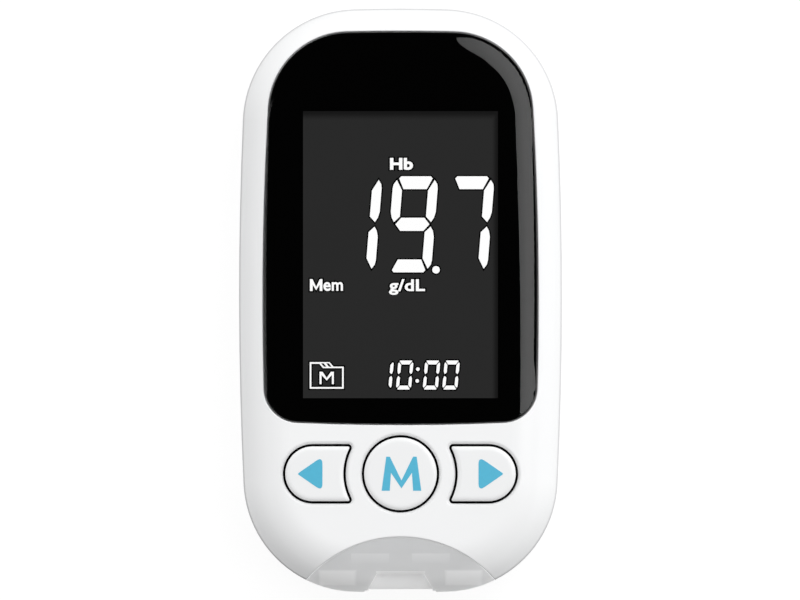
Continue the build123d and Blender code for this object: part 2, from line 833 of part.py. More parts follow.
with BuildPart() as bridge_contact:
    # one plate across both cells: a pressed dimple for the nub, a bowed leaf for the flat end
    block(
        around(0, cell_x + contact_plate_height / 2),
        (bay_high_y - contact_plate_thickness, bay_high_y),
        around(cell_axis_z, contact_plate_height / 2),
    )
    contact_dimple(-cell_x, bay_high_y - contact_plate_thickness, -1)
    contact_leaf(cell_x, bay_high_y - contact_plate_thickness, -1)

save(bridge_contact, "battery_bridge_contact")

with BuildPart() as positive_contact:
    contact_plate(cell_x)
    contact_dimple(cell_x, bay_low_y + contact_plate_thickness, 1)

save(positive_contact, "battery_positive_contact")

with BuildPart() as negative_contact:
    contact_plate(-cell_x)
    contact_leaf(-cell_x, bay_low_y + contact_plate_thickness, 1)

save(negative_contact, "battery_negative_contact")

# ---------------------------------------------------------------- lens, printed mask and tape
with BuildPart() as display_lens:
    with BuildSketch(Plane.XY.offset(lens_bottom_z)):
        lens_outline.face()
    extrude(amount=lens_thickness)
    add(outer_form, mode=Mode.INTERSECT)
    sides = display_lens.faces().filter_by(lambda face: abs(face.normal_at().Z) < 0.01)
    fillet([side.edges().sort_by(Axis.Z)[-1] for side in sides], lens_edge_round)

save(display_lens, "display_lens")

with BuildPart() as lens_mask:
    with BuildSketch(Plane.XY.offset(mask_bottom_z)):
        lens_outline.face(lens_clearance)
        span_rectangle(window_half_width, window_low_y, window_high_y, mode=Mode.SUBTRACT)
    extrude(amount=mask_thickness)

save(lens_mask, "lens_mask")

with BuildPart() as lens_tape:
    with BuildSketch(Plane.XY.offset(ledge_top_z)):
        lens_outline.face(tape_inset)
        span_rectangle(
            window_half_width + ledge_opening_margin,
            window_low_y - ledge_opening_margin,
            window_high_y + ledge_opening_margin,
            mode=Mode.SUBTRACT,
        )
    extrude(amount=tape_thickness)

save(lens_tape, "lens_tape")

# ---------------------------------------------------------------- display stack
with BuildPart() as lcd_gasket:
    with BuildSketch(Plane.XY.offset(ledge_bottom_z)):
        span_rectangle(glass_half_width - film_inset, rear_glass_low_y, glass_high_y - film_inset)
        span_rectangle(
            window_half_width + ledge_opening_margin,
            window_low_y - ledge_opening_margin,
            window_high_y + ledge_opening_margin,
            mode=Mode.SUBTRACT,
        )
    extrude(amount=-gasket_thickness)

save(lcd_gasket, "lcd_gasket")

glass_low = {"front": glass_low_y, "rear": rear_glass_low_y}
display_layers = [
    ("lcd_front_polariser", glass_top_z, polariser_thickness, film_inset, "front"),
    ("lcd_front_glass", glass_joint_z, glass_thickness, 0.0, "front"),
    ("lcd_rear_glass", glass_bottom_z, glass_thickness, 0.0, "rear"),
    ("lcd_rear_polariser", guide_top_z, polariser_thickness, film_inset, "rear"),
]
for name, low_z, thickness, inset, level in display_layers:
    with BuildPart() as layer:
        with BuildSketch(Plane.XY.offset(low_z)):
            span_rectangle(glass_half_width - inset, glass_low[level] + inset, glass_high_y - inset)
        extrude(amount=thickness)
    save(layer, name)

for name, low_z, thickness in (
    ("backlight_guide", guide_bottom_z, guide_thickness),
    ("backlight_reflector", board_top_z, reflector_thickness),
):
    with BuildPart() as sheet:
        with BuildSketch(Plane.XY.offset(low_z)):
            span_rectangle(glass_half_width - guide_inset, rear_glass_low_y + guide_inset, guide_high_y)
        extrude(amount=thickness)
    save(sheet, name)

with BuildPart() as backlight_leds:
    with Locations((0, led_y, board_top_z)):
        with GridLocations(led_pitch, 1, 3, 1):
            Box(*led_size, align=SEATED)

save(backlight_leds, "backlight_leds")

with BuildPart() as lcd_frame:
    with BuildSketch(Plane.XY.offset(board_top_z)):
        span_rectangle(frame_outer_x, frame_low_y - frame_wall, frame_high_y + frame_wall)
        fillet(vertices(), frame_wall)
        span_rectangle(frame_inner_x, frame_low_y, frame_high_y, mode=Mode.SUBTRACT)
    extrude(amount=glass_top_z - board_top_z)
    # rib between the rubber connector and the light guide
    block(
        around(0, frame_inner_x),
        around(rear_glass_low_y, frame_rib / 2),
        (board_top_z, guide_top_z),
    )
    with BuildSketch(Plane.XY.offset(board_bottom_z)):
        with Locations(*frame_pins):
            Circle(frame_pin_radius)
    extrude(amount=board_thickness)

save(lcd_frame, "lcd_frame")

with BuildPart() as zebra_strip:
    block(
        around(0, glass_half_width - rubber_connector_margin),
        (rubber_connector_y - rubber_connector_depth, rubber_connector_y),
        (board_top_z, glass_joint_z),
    )

save(zebra_strip, "zebra_strip")

# ---------------------------------------------------------------- keys
for name, side in (("left_button", -1), ("memory_button", 0), ("right_button", 1)):
    with BuildPart() as flange:
        with BuildSketch(Plane.XY.offset(key_bottom_z)):
            if side == 0:
                memory_key_face(key_flange_width)
            else:
                side_key_face(side, key_flange_width)
        extrude(amount=key_flange_thickness)
        add(key_room_form, mode=Mode.INTERSECT)
    with BuildPart() as button:
        with BuildSketch(Plane.XY.offset(key_bottom_z)):
            if side == 0:
                memory_key_face()
            else:
                side_key_face(side)
        extrude(amount=key_top_z - key_bottom_z)
        fillet(button.edges().group_by(Axis.Z)[-1], key_edge_round)
        add(flange.part)
        with BuildSketch(Plane.XY.offset(key_bottom_z)):
            if side == 0:
                memory_key_face(-key_cap_wall)
            else:
                side_key_face(side, -key_cap_wall)
            with Locations((side * side_key_post_x, key_row_y)):
                Circle(key_post_radius, mode=Mode.SUBTRACT)
        extrude(amount=key_top_z - key_bottom_z - key_cap_wall, mode=Mode.SUBTRACT)
    save(button, name)

with BuildPart() as keypad_mat:
    with BuildSketch(Plane.XY.offset(board_top_z)):
        with Locations((0, key_row_y)):
            RectangleRounded(2 * mat_half_length, 2 * mat_half_height, radius=mat_corner)
    extrude(amount=mat_thickness)
    for x, y in key_posts:
        with Locations((x, y, mat_top_z)):
            Cone(mat_dome_foot_radius, mat_plunger_radius, dome_height, align=SEATED)
            Cylinder(mat_plunger_radius, key_bottom_z - mat_top_z, align=SEATED)
        with Locations((x, y, board_top_z)):
            Cone(
                mat_dome_foot_radius - mat_dome_wall,
                pill_radius + mat_pill_gap,
                pill_top_z - board_top_z,
                align=SEATED,
                mode=Mode.SUBTRACT,
            )

save(keypad_mat, "keypad_mat")

for name, (x, y) in zip(("left_contact_pill", "memory_contact_pill", "right_contact_pill"), key_posts):
    with BuildPart() as pill:
        with Locations((x, y, pill_bottom_z)):
            Cylinder(pill_radius, pill_thickness, align=SEATED)
    save(pill, name)

# ---------------------------------------------------------------- board and what it carries
with BuildPart() as main_board:
    with BuildSketch(Plane.XY.offset(board_bottom_z)):
        case_outline.face(board_inset)
        with Locations(*case_bosses):
            Circle(boss_radius + boss_hole_clearance, mode=Mode.SUBTRACT)
        with Locations(*board_posts):
            Circle(board_screw_shaft_radius + screw_clearance, mode=Mode.SUBTRACT)
        with Locations(*frame_pins):
            Circle(frame_pin_radius + screw_bore_clearance, mode=Mode.SUBTRACT)
        span_rectangle(
            tunnel_half_width + board_notch_gap,
            case_bottom_y,
            tunnel_inner_y + board_notch_gap,
            mode=Mode.SUBTRACT,
        )
    extrude(amount=board_thickness)

save(main_board, "main_board")

with BuildPart() as strip_port:
    add(outer_form)
    add(inner_form, mode=Mode.SUBTRACT)
    # thick rim behind the arch, and a flange that lies behind the front cover's wall
    add(port_rim.part)
    with Locations((0, arch_centre_y, parting_z)):
        Cylinder(port_arch_radius, case_thickness, align=SEATED, mode=Mode.INTERSECT)
    add(port_flange.part)
    add(port_tunnel.part)
    with BuildSketch(Plane.XY.offset(slot_low_z)):
        with BuildLine():
            Polyline(
                (-funnel_half_width, case_bottom_y - overcut),
                (-funnel_half_width, case_bottom_y + notch_depth),
                (-slot_half_width, funnel_inner_y),
                (slot_half_width, funnel_inner_y),
                (funnel_half_width, case_bottom_y + notch_depth),
                (funnel_half_width, case_bottom_y - overcut),
                close=True,
            )
        make_face()
    extrude(amount=case_thickness, mode=Mode.SUBTRACT)
    block(
        around(0, slot_half_width),
        (case_bottom_y, tunnel_inner_y + tunnel_wall),
        (slot_low_z, slot_low_z + slot_height),
        mode=Mode.SUBTRACT,
    )
    add(strip_notch.part, mode=Mode.SUBTRACT)

save(strip_port, "strip_port")

with BuildPart() as strip_connector:
    block(
        around(0, connector_half_width),
        (connector_low_y, connector_high_y),
        (board_top_z, board_top_z + connector_height),
    )
    block(
        around(0, strip_half_width),
        (connector_low_y, connector_low_y + connector_slot_depth),
        (strip_slot_z, strip_slot_z + strip_slot_height),
        mode=Mode.SUBTRACT,
    )
    for x in contact_xs:
        block(
            around(x, contact_width / 2 + contact_groove_gap),
            (connector_low_y + connector_lip, connector_high_y),
            (board_top_z, strip_slot_z + contact_groove_gap),
            mode=Mode.SUBTRACT,
        )

save(strip_connector, "strip_connector")

with BuildPart() as strip_contacts:
    for x in contact_xs:
        with BuildSketch(Plane.YZ.offset(x - contact_width / 2)):
            with BuildLine():
                Polyline(
                    (connector_low_y + contact_tip_inset, strip_slot_z - contact_rise),
                    (connector_low_y + contact_crest_inset, strip_slot_z + contact_rise),
                    (connector_low_y + contact_foot_inset, board_top_z + contact_thickness / 2),
                    (connector_high_y - contact_tail_inset, board_top_z + contact_thickness / 2),
                )
            trace(line_width=contact_thickness)
        extrude(amount=contact_width)

save(strip_contacts, "strip_contacts")

with BuildPart() as port_leds:
    for side in (-1, 1):
        with Locations((side * port_led_x, port_led_y, board_top_z)):
            Box(*port_led_size, align=SEATED)

save(port_leds, "port_leds")

# chips and small parts on the board's underside, clear of the battery bay
for chip in chips:
    with BuildPart() as package:
        with Locations((chip.x, chip_row_y, board_bottom_z)):
            Box(chip.width, chip.length, chip.height, align=HANGING)
        chamfer(package.edges().group_by(Axis.Z)[0], chip_edge)
    save(package, chip.name)

with BuildPart() as chip_leads:
    for chip in chips:
        for side in (-1, 1):
            row_x = chip.x + side * (chip.width + lead_reach) / 2
            with Locations((row_x, chip_row_y, board_bottom_z)):
                with GridLocations(1, lead_spacing, 1, chip.lead_count):
                    Box(lead_reach, lead_width, lead_height, align=HANGING)

save(chip_leads, "chip_leads")

with BuildPart() as crystal:
    with Locations((crystal_x, crystal_y, board_top_z + crystal_radius)):
        Cylinder(crystal_radius, crystal_length, rotation=(0, 90, 0))

save(crystal, "crystal")

with BuildPart() as buzzer:
    with Locations((0, buzzer_y, board_bottom_z)):
        Cylinder(buzzer_radius, buzzer_height, align=HANGING)
    with Locations((0, buzzer_y, board_bottom_z - buzzer_height)):
        Cylinder(buzzer_hole_radius, buzzer_hole_depth, align=SEATED, mode=Mode.SUBTRACT)

save(buzzer, "buzzer")

with BuildPart() as board_capacitors:
    for x in capacitor_group_xs:
        with Locations((x, chip_row_y, board_bottom_z)):
            with GridLocations(capacitor_pitch_x, capacitor_pitch_y, 2, 3):
                Box(*capacitor_size, align=HANGING)

save(board_capacitors, "board_capacitors")

# ---------------------------------------------------------------- screws
with BuildPart() as housing_screws:
    for x, y in case_bosses:
        with Locations((x, y, screw_seat_z)):
            Cylinder(screw_head_radius, screw_head_height, align=HANGING)
            Cylinder(screw_shaft_radius, screw_length, align=SEATED)
        with Locations((x, y, screw_seat_z - screw_head_height)):
            Box(cross_slot[0], cross_slot[1], cross_slot[2], align=SEATED, mode=Mode.SUBTRACT)
            Box(cross_slot[1], cross_slot[0], cross_slot[2], align=SEATED, mode=Mode.SUBTRACT)

save(housing_screws, "housing_screws")

with BuildPart() as board_screws:
    for x, y in board_posts:
        with Locations((x, y, board_bottom_z)):
            Cylinder(board_screw_head_radius, board_screw_head_height, align=HANGING)
            Cylinder(board_screw_shaft_radius, board_screw_length, align=SEATED)
        with Locations((x, y, board_bottom_z - board_screw_head_height)):
            Box(board_slot[0], board_slot[1], board_slot[2], align=SEATED, mode=Mode.SUBTRACT)

save(board_screws, "board_screws")
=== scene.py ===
"""The look of a handheld blood test meter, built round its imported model.

Finishes for every part, the lit display, the printed key symbols, the soft keypad, the door's foam pad and the
studio. Sizes are in millimetres in the meter's own frame and become metres where a mesh is made: +X is to the right
as the display is read, +Y towards the top end, +Z out of the display.
"""

from __future__ import annotations

import json
import logging
import math
from collections.abc import Callable, Iterable, Sequence
from dataclasses import dataclass
from enum import Enum
from functools import cache
from typing import Any

import bmesh
import bpy
from mathutils import Matrix, Vector

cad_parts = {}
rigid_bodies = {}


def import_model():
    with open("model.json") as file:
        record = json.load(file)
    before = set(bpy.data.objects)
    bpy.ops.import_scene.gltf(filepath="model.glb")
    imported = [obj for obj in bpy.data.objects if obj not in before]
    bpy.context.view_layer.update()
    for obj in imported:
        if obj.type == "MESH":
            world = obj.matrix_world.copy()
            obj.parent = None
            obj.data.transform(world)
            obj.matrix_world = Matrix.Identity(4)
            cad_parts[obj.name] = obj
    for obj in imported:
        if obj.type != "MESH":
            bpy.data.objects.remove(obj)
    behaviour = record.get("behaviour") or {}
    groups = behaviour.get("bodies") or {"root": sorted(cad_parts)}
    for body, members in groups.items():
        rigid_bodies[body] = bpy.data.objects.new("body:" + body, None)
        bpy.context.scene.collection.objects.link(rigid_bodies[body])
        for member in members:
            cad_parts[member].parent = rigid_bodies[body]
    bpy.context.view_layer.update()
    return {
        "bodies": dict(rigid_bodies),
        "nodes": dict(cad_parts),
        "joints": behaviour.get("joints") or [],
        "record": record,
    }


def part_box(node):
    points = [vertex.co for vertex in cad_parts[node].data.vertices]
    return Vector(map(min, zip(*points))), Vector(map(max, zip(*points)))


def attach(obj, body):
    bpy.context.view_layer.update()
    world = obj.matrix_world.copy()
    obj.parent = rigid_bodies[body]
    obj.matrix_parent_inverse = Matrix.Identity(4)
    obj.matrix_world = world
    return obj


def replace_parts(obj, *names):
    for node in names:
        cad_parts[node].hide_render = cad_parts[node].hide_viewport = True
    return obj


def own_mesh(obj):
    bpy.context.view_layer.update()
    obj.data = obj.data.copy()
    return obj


LOG = logging.getLogger("meter")
MM = 0.001
WHITE = (1.0, 1.0, 1.0)
BLACK = (0.0, 0.0, 0.0)
WELD = 1e-4  # points nearer than this are one
SLIVER = 1e-5  # edges shorter than this are dropped
BLUNTEST = 0.35  # the least sharpness, which keeps a sharp corner from flying out when its outline grows
FILM_CREASE = 50.0  # a flat piece's edges that are sharper than this stay crisp, in degrees
DOME_CREASE = 40.0  # and a turned piece's
PRINCIPLED = "ShaderNodeBsdfPrincipled"
MIX_SHADER = "ShaderNodeMixShader"

Point = tuple[float, float]
Outline = Sequence[Point]
Triple = tuple[float, float, float]
Colour = Triple
Sockets = dict[int | str, Any]


# ---------------------------------------------------------------- shader graphs
class Socket:
    """One value in a shader, on which Python's arithmetic adds Math nodes."""

    def __init__(self, graph: Graph, output: bpy.types.NodeSocket) -> None:
        """Keeps the output and the graph that it belongs to."""
        self.graph = graph
        self.output = output

    def math(self, operation: str, *operands: Socket | float) -> Socket:
        """The result of a Math node of one operation on its operands."""
        return self.graph.value("ShaderNodeMath", dict(enumerate(operands)), operation=operation)

    def __add__(self, other: Socket | float) -> Socket:
        """Self plus other."""
        return self.math("ADD", self, other)

    def __sub__(self, other: Socket | float) -> Socket:
        """Self minus other."""
        return self.math("SUBTRACT", self, other)

    def __rsub__(self, other: float) -> Socket:
        """Other minus self."""
        return self.math("SUBTRACT", other, self)

    def __mul__(self, other: Socket | float) -> Socket:
        """Self times other."""
        return self.math("MULTIPLY", self, other)

    def __or__(self, other: Socket | float) -> Socket:
        """The larger of the two, which joins two masks."""
        return self.math("MAXIMUM", self, other)

    def __and__(self, other: Socket | float) -> Socket:
        """The smaller of the two, which keeps what both masks cover."""
        return self.math("MINIMUM", self, other)

    __radd__, __rmul__, __ror__, __rand__ = __add__, __mul__, __or__, __and__

    def __abs__(self) -> Socket:
        """The value without its sign."""
        return self.math("ABSOLUTE", self)

    def fract(self) -> Socket:
        """What is left above the whole number."""
        return self.math("FRACT", self)

    def hypot(self, other: Socket) -> Socket:
        """How far away a point is that lies self to one side and other to the next."""
        return self.math("SQRT", self * self + other * other)

    def rise(self, low: float, high: float) -> Socket:
        """Goes smoothly from 0 at low to 1 at high."""
        inputs: Sockets = {"Value": self, "From Min": low, "From Max": high}
        return self.graph.value("ShaderNodeMapRange", inputs, interpolation_type="SMOOTHSTEP")

    def fall(self, low: float, high: float) -> Socket:
        """Goes smoothly from 1 at low to 0 at high."""
        return 1 - self.rise(low, high)

    def within(self, middle: float, reach: float, soft: float) -> Socket:
        """Is 1 up to reach either side of middle, and 0 from soft further out."""
        return abs(self - middle).fall(reach, reach + soft)


class Graph:
    """The nodes of one material or world, with the few helpers that the finishes share."""

    def __init__(self, tree: bpy.types.NodeTree) -> None:
        """Starts from an empty tree."""
        self.tree = tree
        tree.nodes.clear()

    def node(self, kind: str, settings: dict[str, Any] | None = None, inputs: Sockets | None = None) -> bpy.types.Node:
        """Adds a node of any kind.

        Args:
            kind: The node's type.
            settings: Its properties, which are set first.
            inputs: Values or links of its sockets, by name or number.

        Returns:
            The new node.
        """
        node = self.tree.nodes.new(kind)
        for name, value in (settings or {}).items():
            setattr(node, name, value)
        for key, value in (inputs or {}).items():
            if isinstance(value, Socket):
                self.tree.links.new(value.output, node.inputs[key])
            else:
                node.inputs[key].default_value = value
        return node

    def value(self, kind: str, inputs: Sockets | None = None, output: int | str = 0, **settings: Any) -> Socket:
        """Adds a node of any kind and gives one of its outputs."""
        return Socket(self, self.node(kind, settings, inputs).outputs[output])

    def split(self, vector: Socket) -> list[Socket]:
        """The X, Y and Z parts of a vector."""
        node = self.node("ShaderNodeSeparateXYZ", None, {0: vector})
        return [Socket(self, output) for output in node.outputs]

    def place(self, stretch: Triple = (1, 1, 1)) -> Socket:
        """The point on the piece in millimetres, times stretch along each axis."""
        inputs: Sockets = {0: self.value("ShaderNodeTexCoord", output="Object"), 1: [way / MM for way in stretch]}
        return self.value("ShaderNodeVectorMath", inputs, operation="MULTIPLY")

    def where(self) -> list[Socket]:
        """The point's places along X, Y and Z in millimetres."""
        return self.split(self.place())

    def facing(self) -> list[Socket]:
        """How far the surface looks along X, Y and Z, from -1 to 1."""
        return self.split(self.value("ShaderNodeNewGeometry", output="Normal"))

    def noise(self, size: float, detail: float = 2.0, stretch: Triple = (1, 1, 1)) -> Socket:
        """Noise from about 0 to 1, in blotches of a size, finer by detail and denser by stretch along an axis."""
        return self.value("ShaderNodeTexNoise", {"Vector": self.place(stretch), "Scale": 1 / size, "Detail": detail})

    def cells(self, size: float) -> Socket:
        """Distance to the middle of the nearest of scattered cells, in cell sizes."""
        return self.value("ShaderNodeTexVoronoi", {"Vector": self.place(), "Scale": 1 / size}, "Distance")

    def blend(self, share: Socket | float, first: Socket | Colour, second: Socket | Colour) -> Socket:
        """The first colour where share is 0 and the second where it is 1."""
        before, after = (colour if isinstance(colour, Socket) else (*colour, 1.0) for colour in (first, second))
        return self.value("ShaderNodeMix", {0: share, 6: before, 7: after}, 2, data_type="RGBA")

    def tinted(self, colour: Colour, spread: float, size: float) -> Socket:
        """A colour that strays by a share either way over the surface, in blotches of a size."""
        darker, lighter = (tuple(min(1.0, part * (1 + way * spread)) for part in colour) for way in (-1, 1))
        return self.blend(self.noise(size, 3.0), darker, lighter)

    def relief(self, height: Socket, depth: float, edge: float = 0.0) -> Socket:
        """A normal that follows a height, on edges that are softened.

        Args:
            height: The height, from 0 to 1.
            depth: How many millimetres a height of 1 is worth.
            edge: How far in from an edge the surface is softened, in millimetres.

        Returns:
            The normal.
        """
        inputs: Sockets = {"Distance": depth * MM, "Height": height}
        if edge:
            inputs["Normal"] = self.value("ShaderNodeBevel", {"Radius": edge * MM}, samples=8)
        return self.value("ShaderNodeBump", inputs)


@dataclass(frozen=True)
class Patch:
    """A rectangle with soft edges that a finish draws."""

    middle: Point
    half: Point  # half its size each way
    soft: Point = (0.05, 0.05)  # how far it fades out beyond that

    def mask(self, across: Socket, along: Socket) -> Socket:
        """Is 1 inside the rectangle and 0 away from it."""
        level, upright = map(Socket.within, (across, along), self.middle, self.half, self.soft)
        return level & upright


# ---------------------------------------------------------------- finishes
@dataclass(frozen=True)
class Finish:
    """What a surface is made of; each kind says what goes into the shader's sockets."""

    name: str

    def sockets(self, graph: Graph) -> Sockets:
        """Gives the shader's values and links by socket name."""
        raise NotImplementedError

    def surface(self, graph: Graph) -> Socket:
        """The finished shader."""
        return graph.value(PRINCIPLED, self.sockets(graph))


@cache
def material_of(finish: Finish) -> bpy.types.Material:
    """Builds a finish's material, once.

    Args:
        finish: The finish.

    Returns:
        Its material.
    """
    material = bpy.data.materials.new(finish.name)
    material.use_nodes = True
    graph = Graph(material.node_tree)
    graph.node("ShaderNodeOutputMaterial", None, {0: finish.surface(graph)})
    return material


@dataclass(frozen=True)
class MouldedPlastic(Finish):
    """Glossy or spark-textured moulded plastic."""

    colour: Colour
    roughness: float = 0.22
    grain: float = 1.6  # how wide one bump of the texture is
    grain_depth: float = 0.002
    shine: float = 0.5  # how strongly it reflects; 0.5 is bare plastic
    edge: float = 0.0  # how far in from its edges it is softened

    def sockets(self, graph: Graph) -> Sockets:
        """Slight flow marks in colour and gloss over a fine peel or spark texture.

        Args:
            graph: The material's nodes.

        Returns:
            The shader's values and links.
        """
        flow = graph.noise(14.0, 3.0, (1.0, 0.45, 1.0))
        speck = graph.noise(self.grain)
        return {
            "Base Color": graph.tinted(self.colour, 0.012, 11.0),
            "Roughness": self.roughness + 0.07 * (flow - 0.5) + 0.05 * (speck - 0.5),
            "IOR": 1.5,
            "Specular IOR Level": self.shine,
            "Normal": graph.relief(speck, self.grain_depth, self.edge),
        }


@dataclass(frozen=True)
class CasePlastic(MouldedPlastic):
    """The case's plastic, glossy on its face and eroded matt on its sides for a firm hold; the sides' darker grey is
    painted shade along the case's outline.
    """

    # painted shade: the matt side's darker grey stands in for the shade at the case's outline
    painted_shade_flank: Colour = (0.68, 0.685, 0.69)
    flank_top: float = 15.0  # the height at which the matt side, painted a shade darker, ends
    fade: float = 0.1  # how far above and below that it changes

    def surface(self, graph: Graph) -> Socket:
        """The glossy plastic over a matt side whose darker grey paints the shade at the case's outline.

        Args:
            graph: The material's nodes.

        Returns:
            The finished shader.
        """
        glossy = self.sockets(graph)
        # painted shade: the side's darker grey
        colour = graph.tinted(self.painted_shade_flank, 0.02, 3.0)
        matt = {**glossy, "Base Color": colour, "Roughness": 0.9, "Specular IOR Level": 0.0}
        painted_shade_flank = graph.where()[2].fall(self.flank_top - self.fade, self.flank_top + self.fade)
        face, side = (graph.value(PRINCIPLED, sockets) for sockets in (glossy, matt))
        return graph.value(MIX_SHADER, {0: painted_shade_flank, 1: face, 2: side})


@dataclass(frozen=True)
class KeyPlastic(MouldedPlastic):
    """A white key cap whose lower part is painted near black, painted shade that darkens the gap round the key."""

    # painted shade: near black below the cap, standing in for the shade in the gap round the key
    gap_shade: Colour = (0.012, 0.012, 0.013)
    skirt_top: float = 20.5  # the height up to which the painted shade reaches
    fade: float = 0.1  # how far above that it changes

    def sockets(self, graph: Graph) -> Sockets:
        """The cap's plastic, painted near black below that height as shade for the gap round the key.

        Args:
            graph: The material's nodes.

        Returns:
            The shader's values and links.
        """
        sockets = super().sockets(graph)
        cap = graph.where()[2].rise(self.skirt_top, self.skirt_top + self.fade)
        sockets["Base Color"] = graph.blend(cap, self.gap_shade, sockets["Base Color"])
        return sockets


@dataclass(frozen=True)
class PortPlastic(Finish):
    """Smoky see-through port plastic, paler behind ribs, with a glow partly from lamps inside and partly painted light.
    """

    colour: Colour  # of the thin wall
    pale: Colour  # of what lies over ribs and thick pads, and of the paler outer end
    clear: Colour = (0.96, 0.965, 0.97)  # painted light: a near white on the funnel's polished walls that stands in for the light filling the pit
    arm: Patch = Patch((5.1, -43.3), (3.1, 0.72), (0.25, 0.25))  # the level part of the bent rib on each side
    leg: Patch = Patch((7.48, -44.7), (0.72, 1.4), (0.3, 0.3))  # its upright part
    pad: Patch = Patch((10.6, -46.6), (2.6, 1.0), (1.4, 0.8))  # the thick pad at each end of the arch, paler still as painted light against the slope's shade
    rib_share: float = 0.32  # how much paler a rib is
    rim_share: float = 0.56  # and how much paler the outer end is
    rim_y: Point = (-47.0, -41.0)  # the paler outer end fades out between these
    edge_y: Point = (-49.0, -47.6)  # and its very edge between these
    cloud_share: float = 0.12  # how much paler its cloudiness makes it
    funnel_half: float = 3.9  # half the funnel's width at its inner end
    funnel_slope: float = 0.58  # how fast each of its walls moves out towards the mouth
    funnel_y: float = -45.85  # where the funnel's inner end is
    funnel_low: Point = (14.5, 14.8)  # the funnel's floor rises between these heights
    mouth_y: float = -49.0  # and where its mouth is
    lip_highlight: Patch = Patch((0.0, -45.65), (4.0, 0.16), (0.2, 0.1))  # painted highlight along the slot's edge at the funnel's inner end
    arch_y: float = -60.75  # where the middle of the port's arch lies
    arch_radius: float = 21.0
    arch_painted_glow: Point = (0.4, 0.5)  # the glow painted at the arch's crown, and what its ends have more
    arch_ends: Point = (11.0, 18.0)  # how far from the middle line that starts and is full
    lit: float = 0.5  # how brightly its side wall glows: lamps behind the port, and painted light filling the gap round it
    funnel_painted_glow: float = 0.4  # the share of that painted glow in the funnel's inner end
    mouth_painted_glow: float = 0.25  # the share of the funnel's light that is left at the mouth

    def sockets(self, graph: Graph) -> Sockets:
        """Two bent ribs and two pads show through paler; the rest is a soft even grey, with painted light in the
        funnel, a painted highlight on the slot's edge and a painted glow.

        Args:
            graph: The material's nodes.

        Returns:
            The shader's values and links.
        """
        across, along, height = graph.where()
        side = abs(across)
        ribs = self.arm.mask(side, along) | self.leg.mask(side, along)
        rim = along.fall(*self.rim_y) + 0.5 * along.fall(*self.edge_y)
        # the pads take the full pale, partly painted light against the shade of the sloping surface; paler towards the
        # outer end
        thick = (self.rib_share * ribs) | self.pad.mask(side, along) | (self.rim_share * rim)
        body = graph.blend(thick, self.colour, self.pale)
        # painted light: the funnel's walls take a near white where the pit would be in shade
        wall_x = self.funnel_half + self.funnel_slope * (self.funnel_y - along)
        funnel = (wall_x - side).rise(-0.1, 0.0) & along.fall(self.funnel_y - 0.05, self.funnel_y)
        inside = funnel & height.rise(*self.funnel_low)
        # painted highlight: the slot's edge takes the same near white
        body = graph.blend(inside | self.lip_highlight.mask(across, along), body, self.clear)
        # painted light: the side wall and the funnel glow, lifting the shade in the gap round the port and in the pit
        wall = across.hypot(along - self.arch_y).rise(self.arch_radius - 0.05, self.arch_radius - 0.01)
        crown, ends = self.arch_painted_glow
        depth = self.mouth_painted_glow + (1 - self.mouth_painted_glow) * along.rise(self.mouth_y, self.funnel_y)
        glow = (wall * (crown + ends * side.rise(*self.arch_ends))) | (inside * depth * self.funnel_painted_glow)
        cloud = graph.noise(6.0, 1.0)
        return {
            "Base Color": graph.blend(cloud * self.cloud_share, body, self.pale),
            "Roughness": 0.3 + 0.06 * cloud,
            "IOR": 1.58,
            "Subsurface Weight": 0.9,
            "Subsurface Radius": (1.0, 1.0, 1.0),
            "Subsurface Scale": 2.5 * MM,
            "Emission Color": graph.blend(glow, BLACK, WHITE),
            "Emission Strength": self.lit,
            "Normal": graph.relief(graph.noise(0.9), 0.0015),
        }


@dataclass(frozen=True)
class ClearPlastic(Finish):
    """Hard-coated clear plastic or glass."""

    tint: Colour  # what it does to light that passes
    ior: float
    haze: float = 0.015  # the most that smears blur it

    def sockets(self, graph: Graph) -> Sockets:
        """Clear all through, with the faintest wiping marks.

        Args:
            graph: The material's nodes.

        Returns:
            The shader's values and links.
        """
        smear = graph.noise(5.0, 3.0, (1.0, 0.3, 1.0)).rise(0.5, 0.8)
        return {
            "Base Color": graph.tinted(self.tint, 0.01, 9.0),
            "Roughness": self.haze * smear,
            "IOR": self.ior,
            "Transmission Weight": 1.0,
        }


@dataclass(frozen=True)
class LensPlastic(ClearPlastic):
    """Clear plastic whose side and rounded rim are printed black, as a display lens's are."""

    rim_tilt: Point = (0.8, 0.88)  # it is black below the first of these upward leanings and clear above the second

    def sockets(self, graph: Graph) -> Sockets:
        """The clear plastic, black where the surface turns down at the rim.

        Args:
            graph: The material's nodes.

        Returns:
            The shader's values and links.
        """
        sockets = super().sockets(graph)
        rim = abs(graph.facing()[2]).fall(*self.rim_tilt)
        sockets["Base Color"] = graph.blend(rim, sockets["Base Color"], BLACK)
        return sockets


@dataclass(frozen=True)
class InkFilm(Finish):
    """Printed ink, a dull even coat with a fine screen-print grain."""

    colour: Colour
    roughness: float = 0.5
    shine: float = 0.35

    def sockets(self, graph: Graph) -> Sockets:
        """The ink's colour and gloss change with the grain of the print.

        Args:
            graph: The material's nodes.

        Returns:
            The shader's values and links.
        """
        grain = graph.noise(0.25)
        return {
            "Base Color": graph.tinted(self.colour, 0.05, 0.8),
            "Roughness": self.roughness + 0.12 * (grain - 0.5),
            "Specular IOR Level": self.shine,
            "Normal": graph.relief(grain, 0.001),
        }


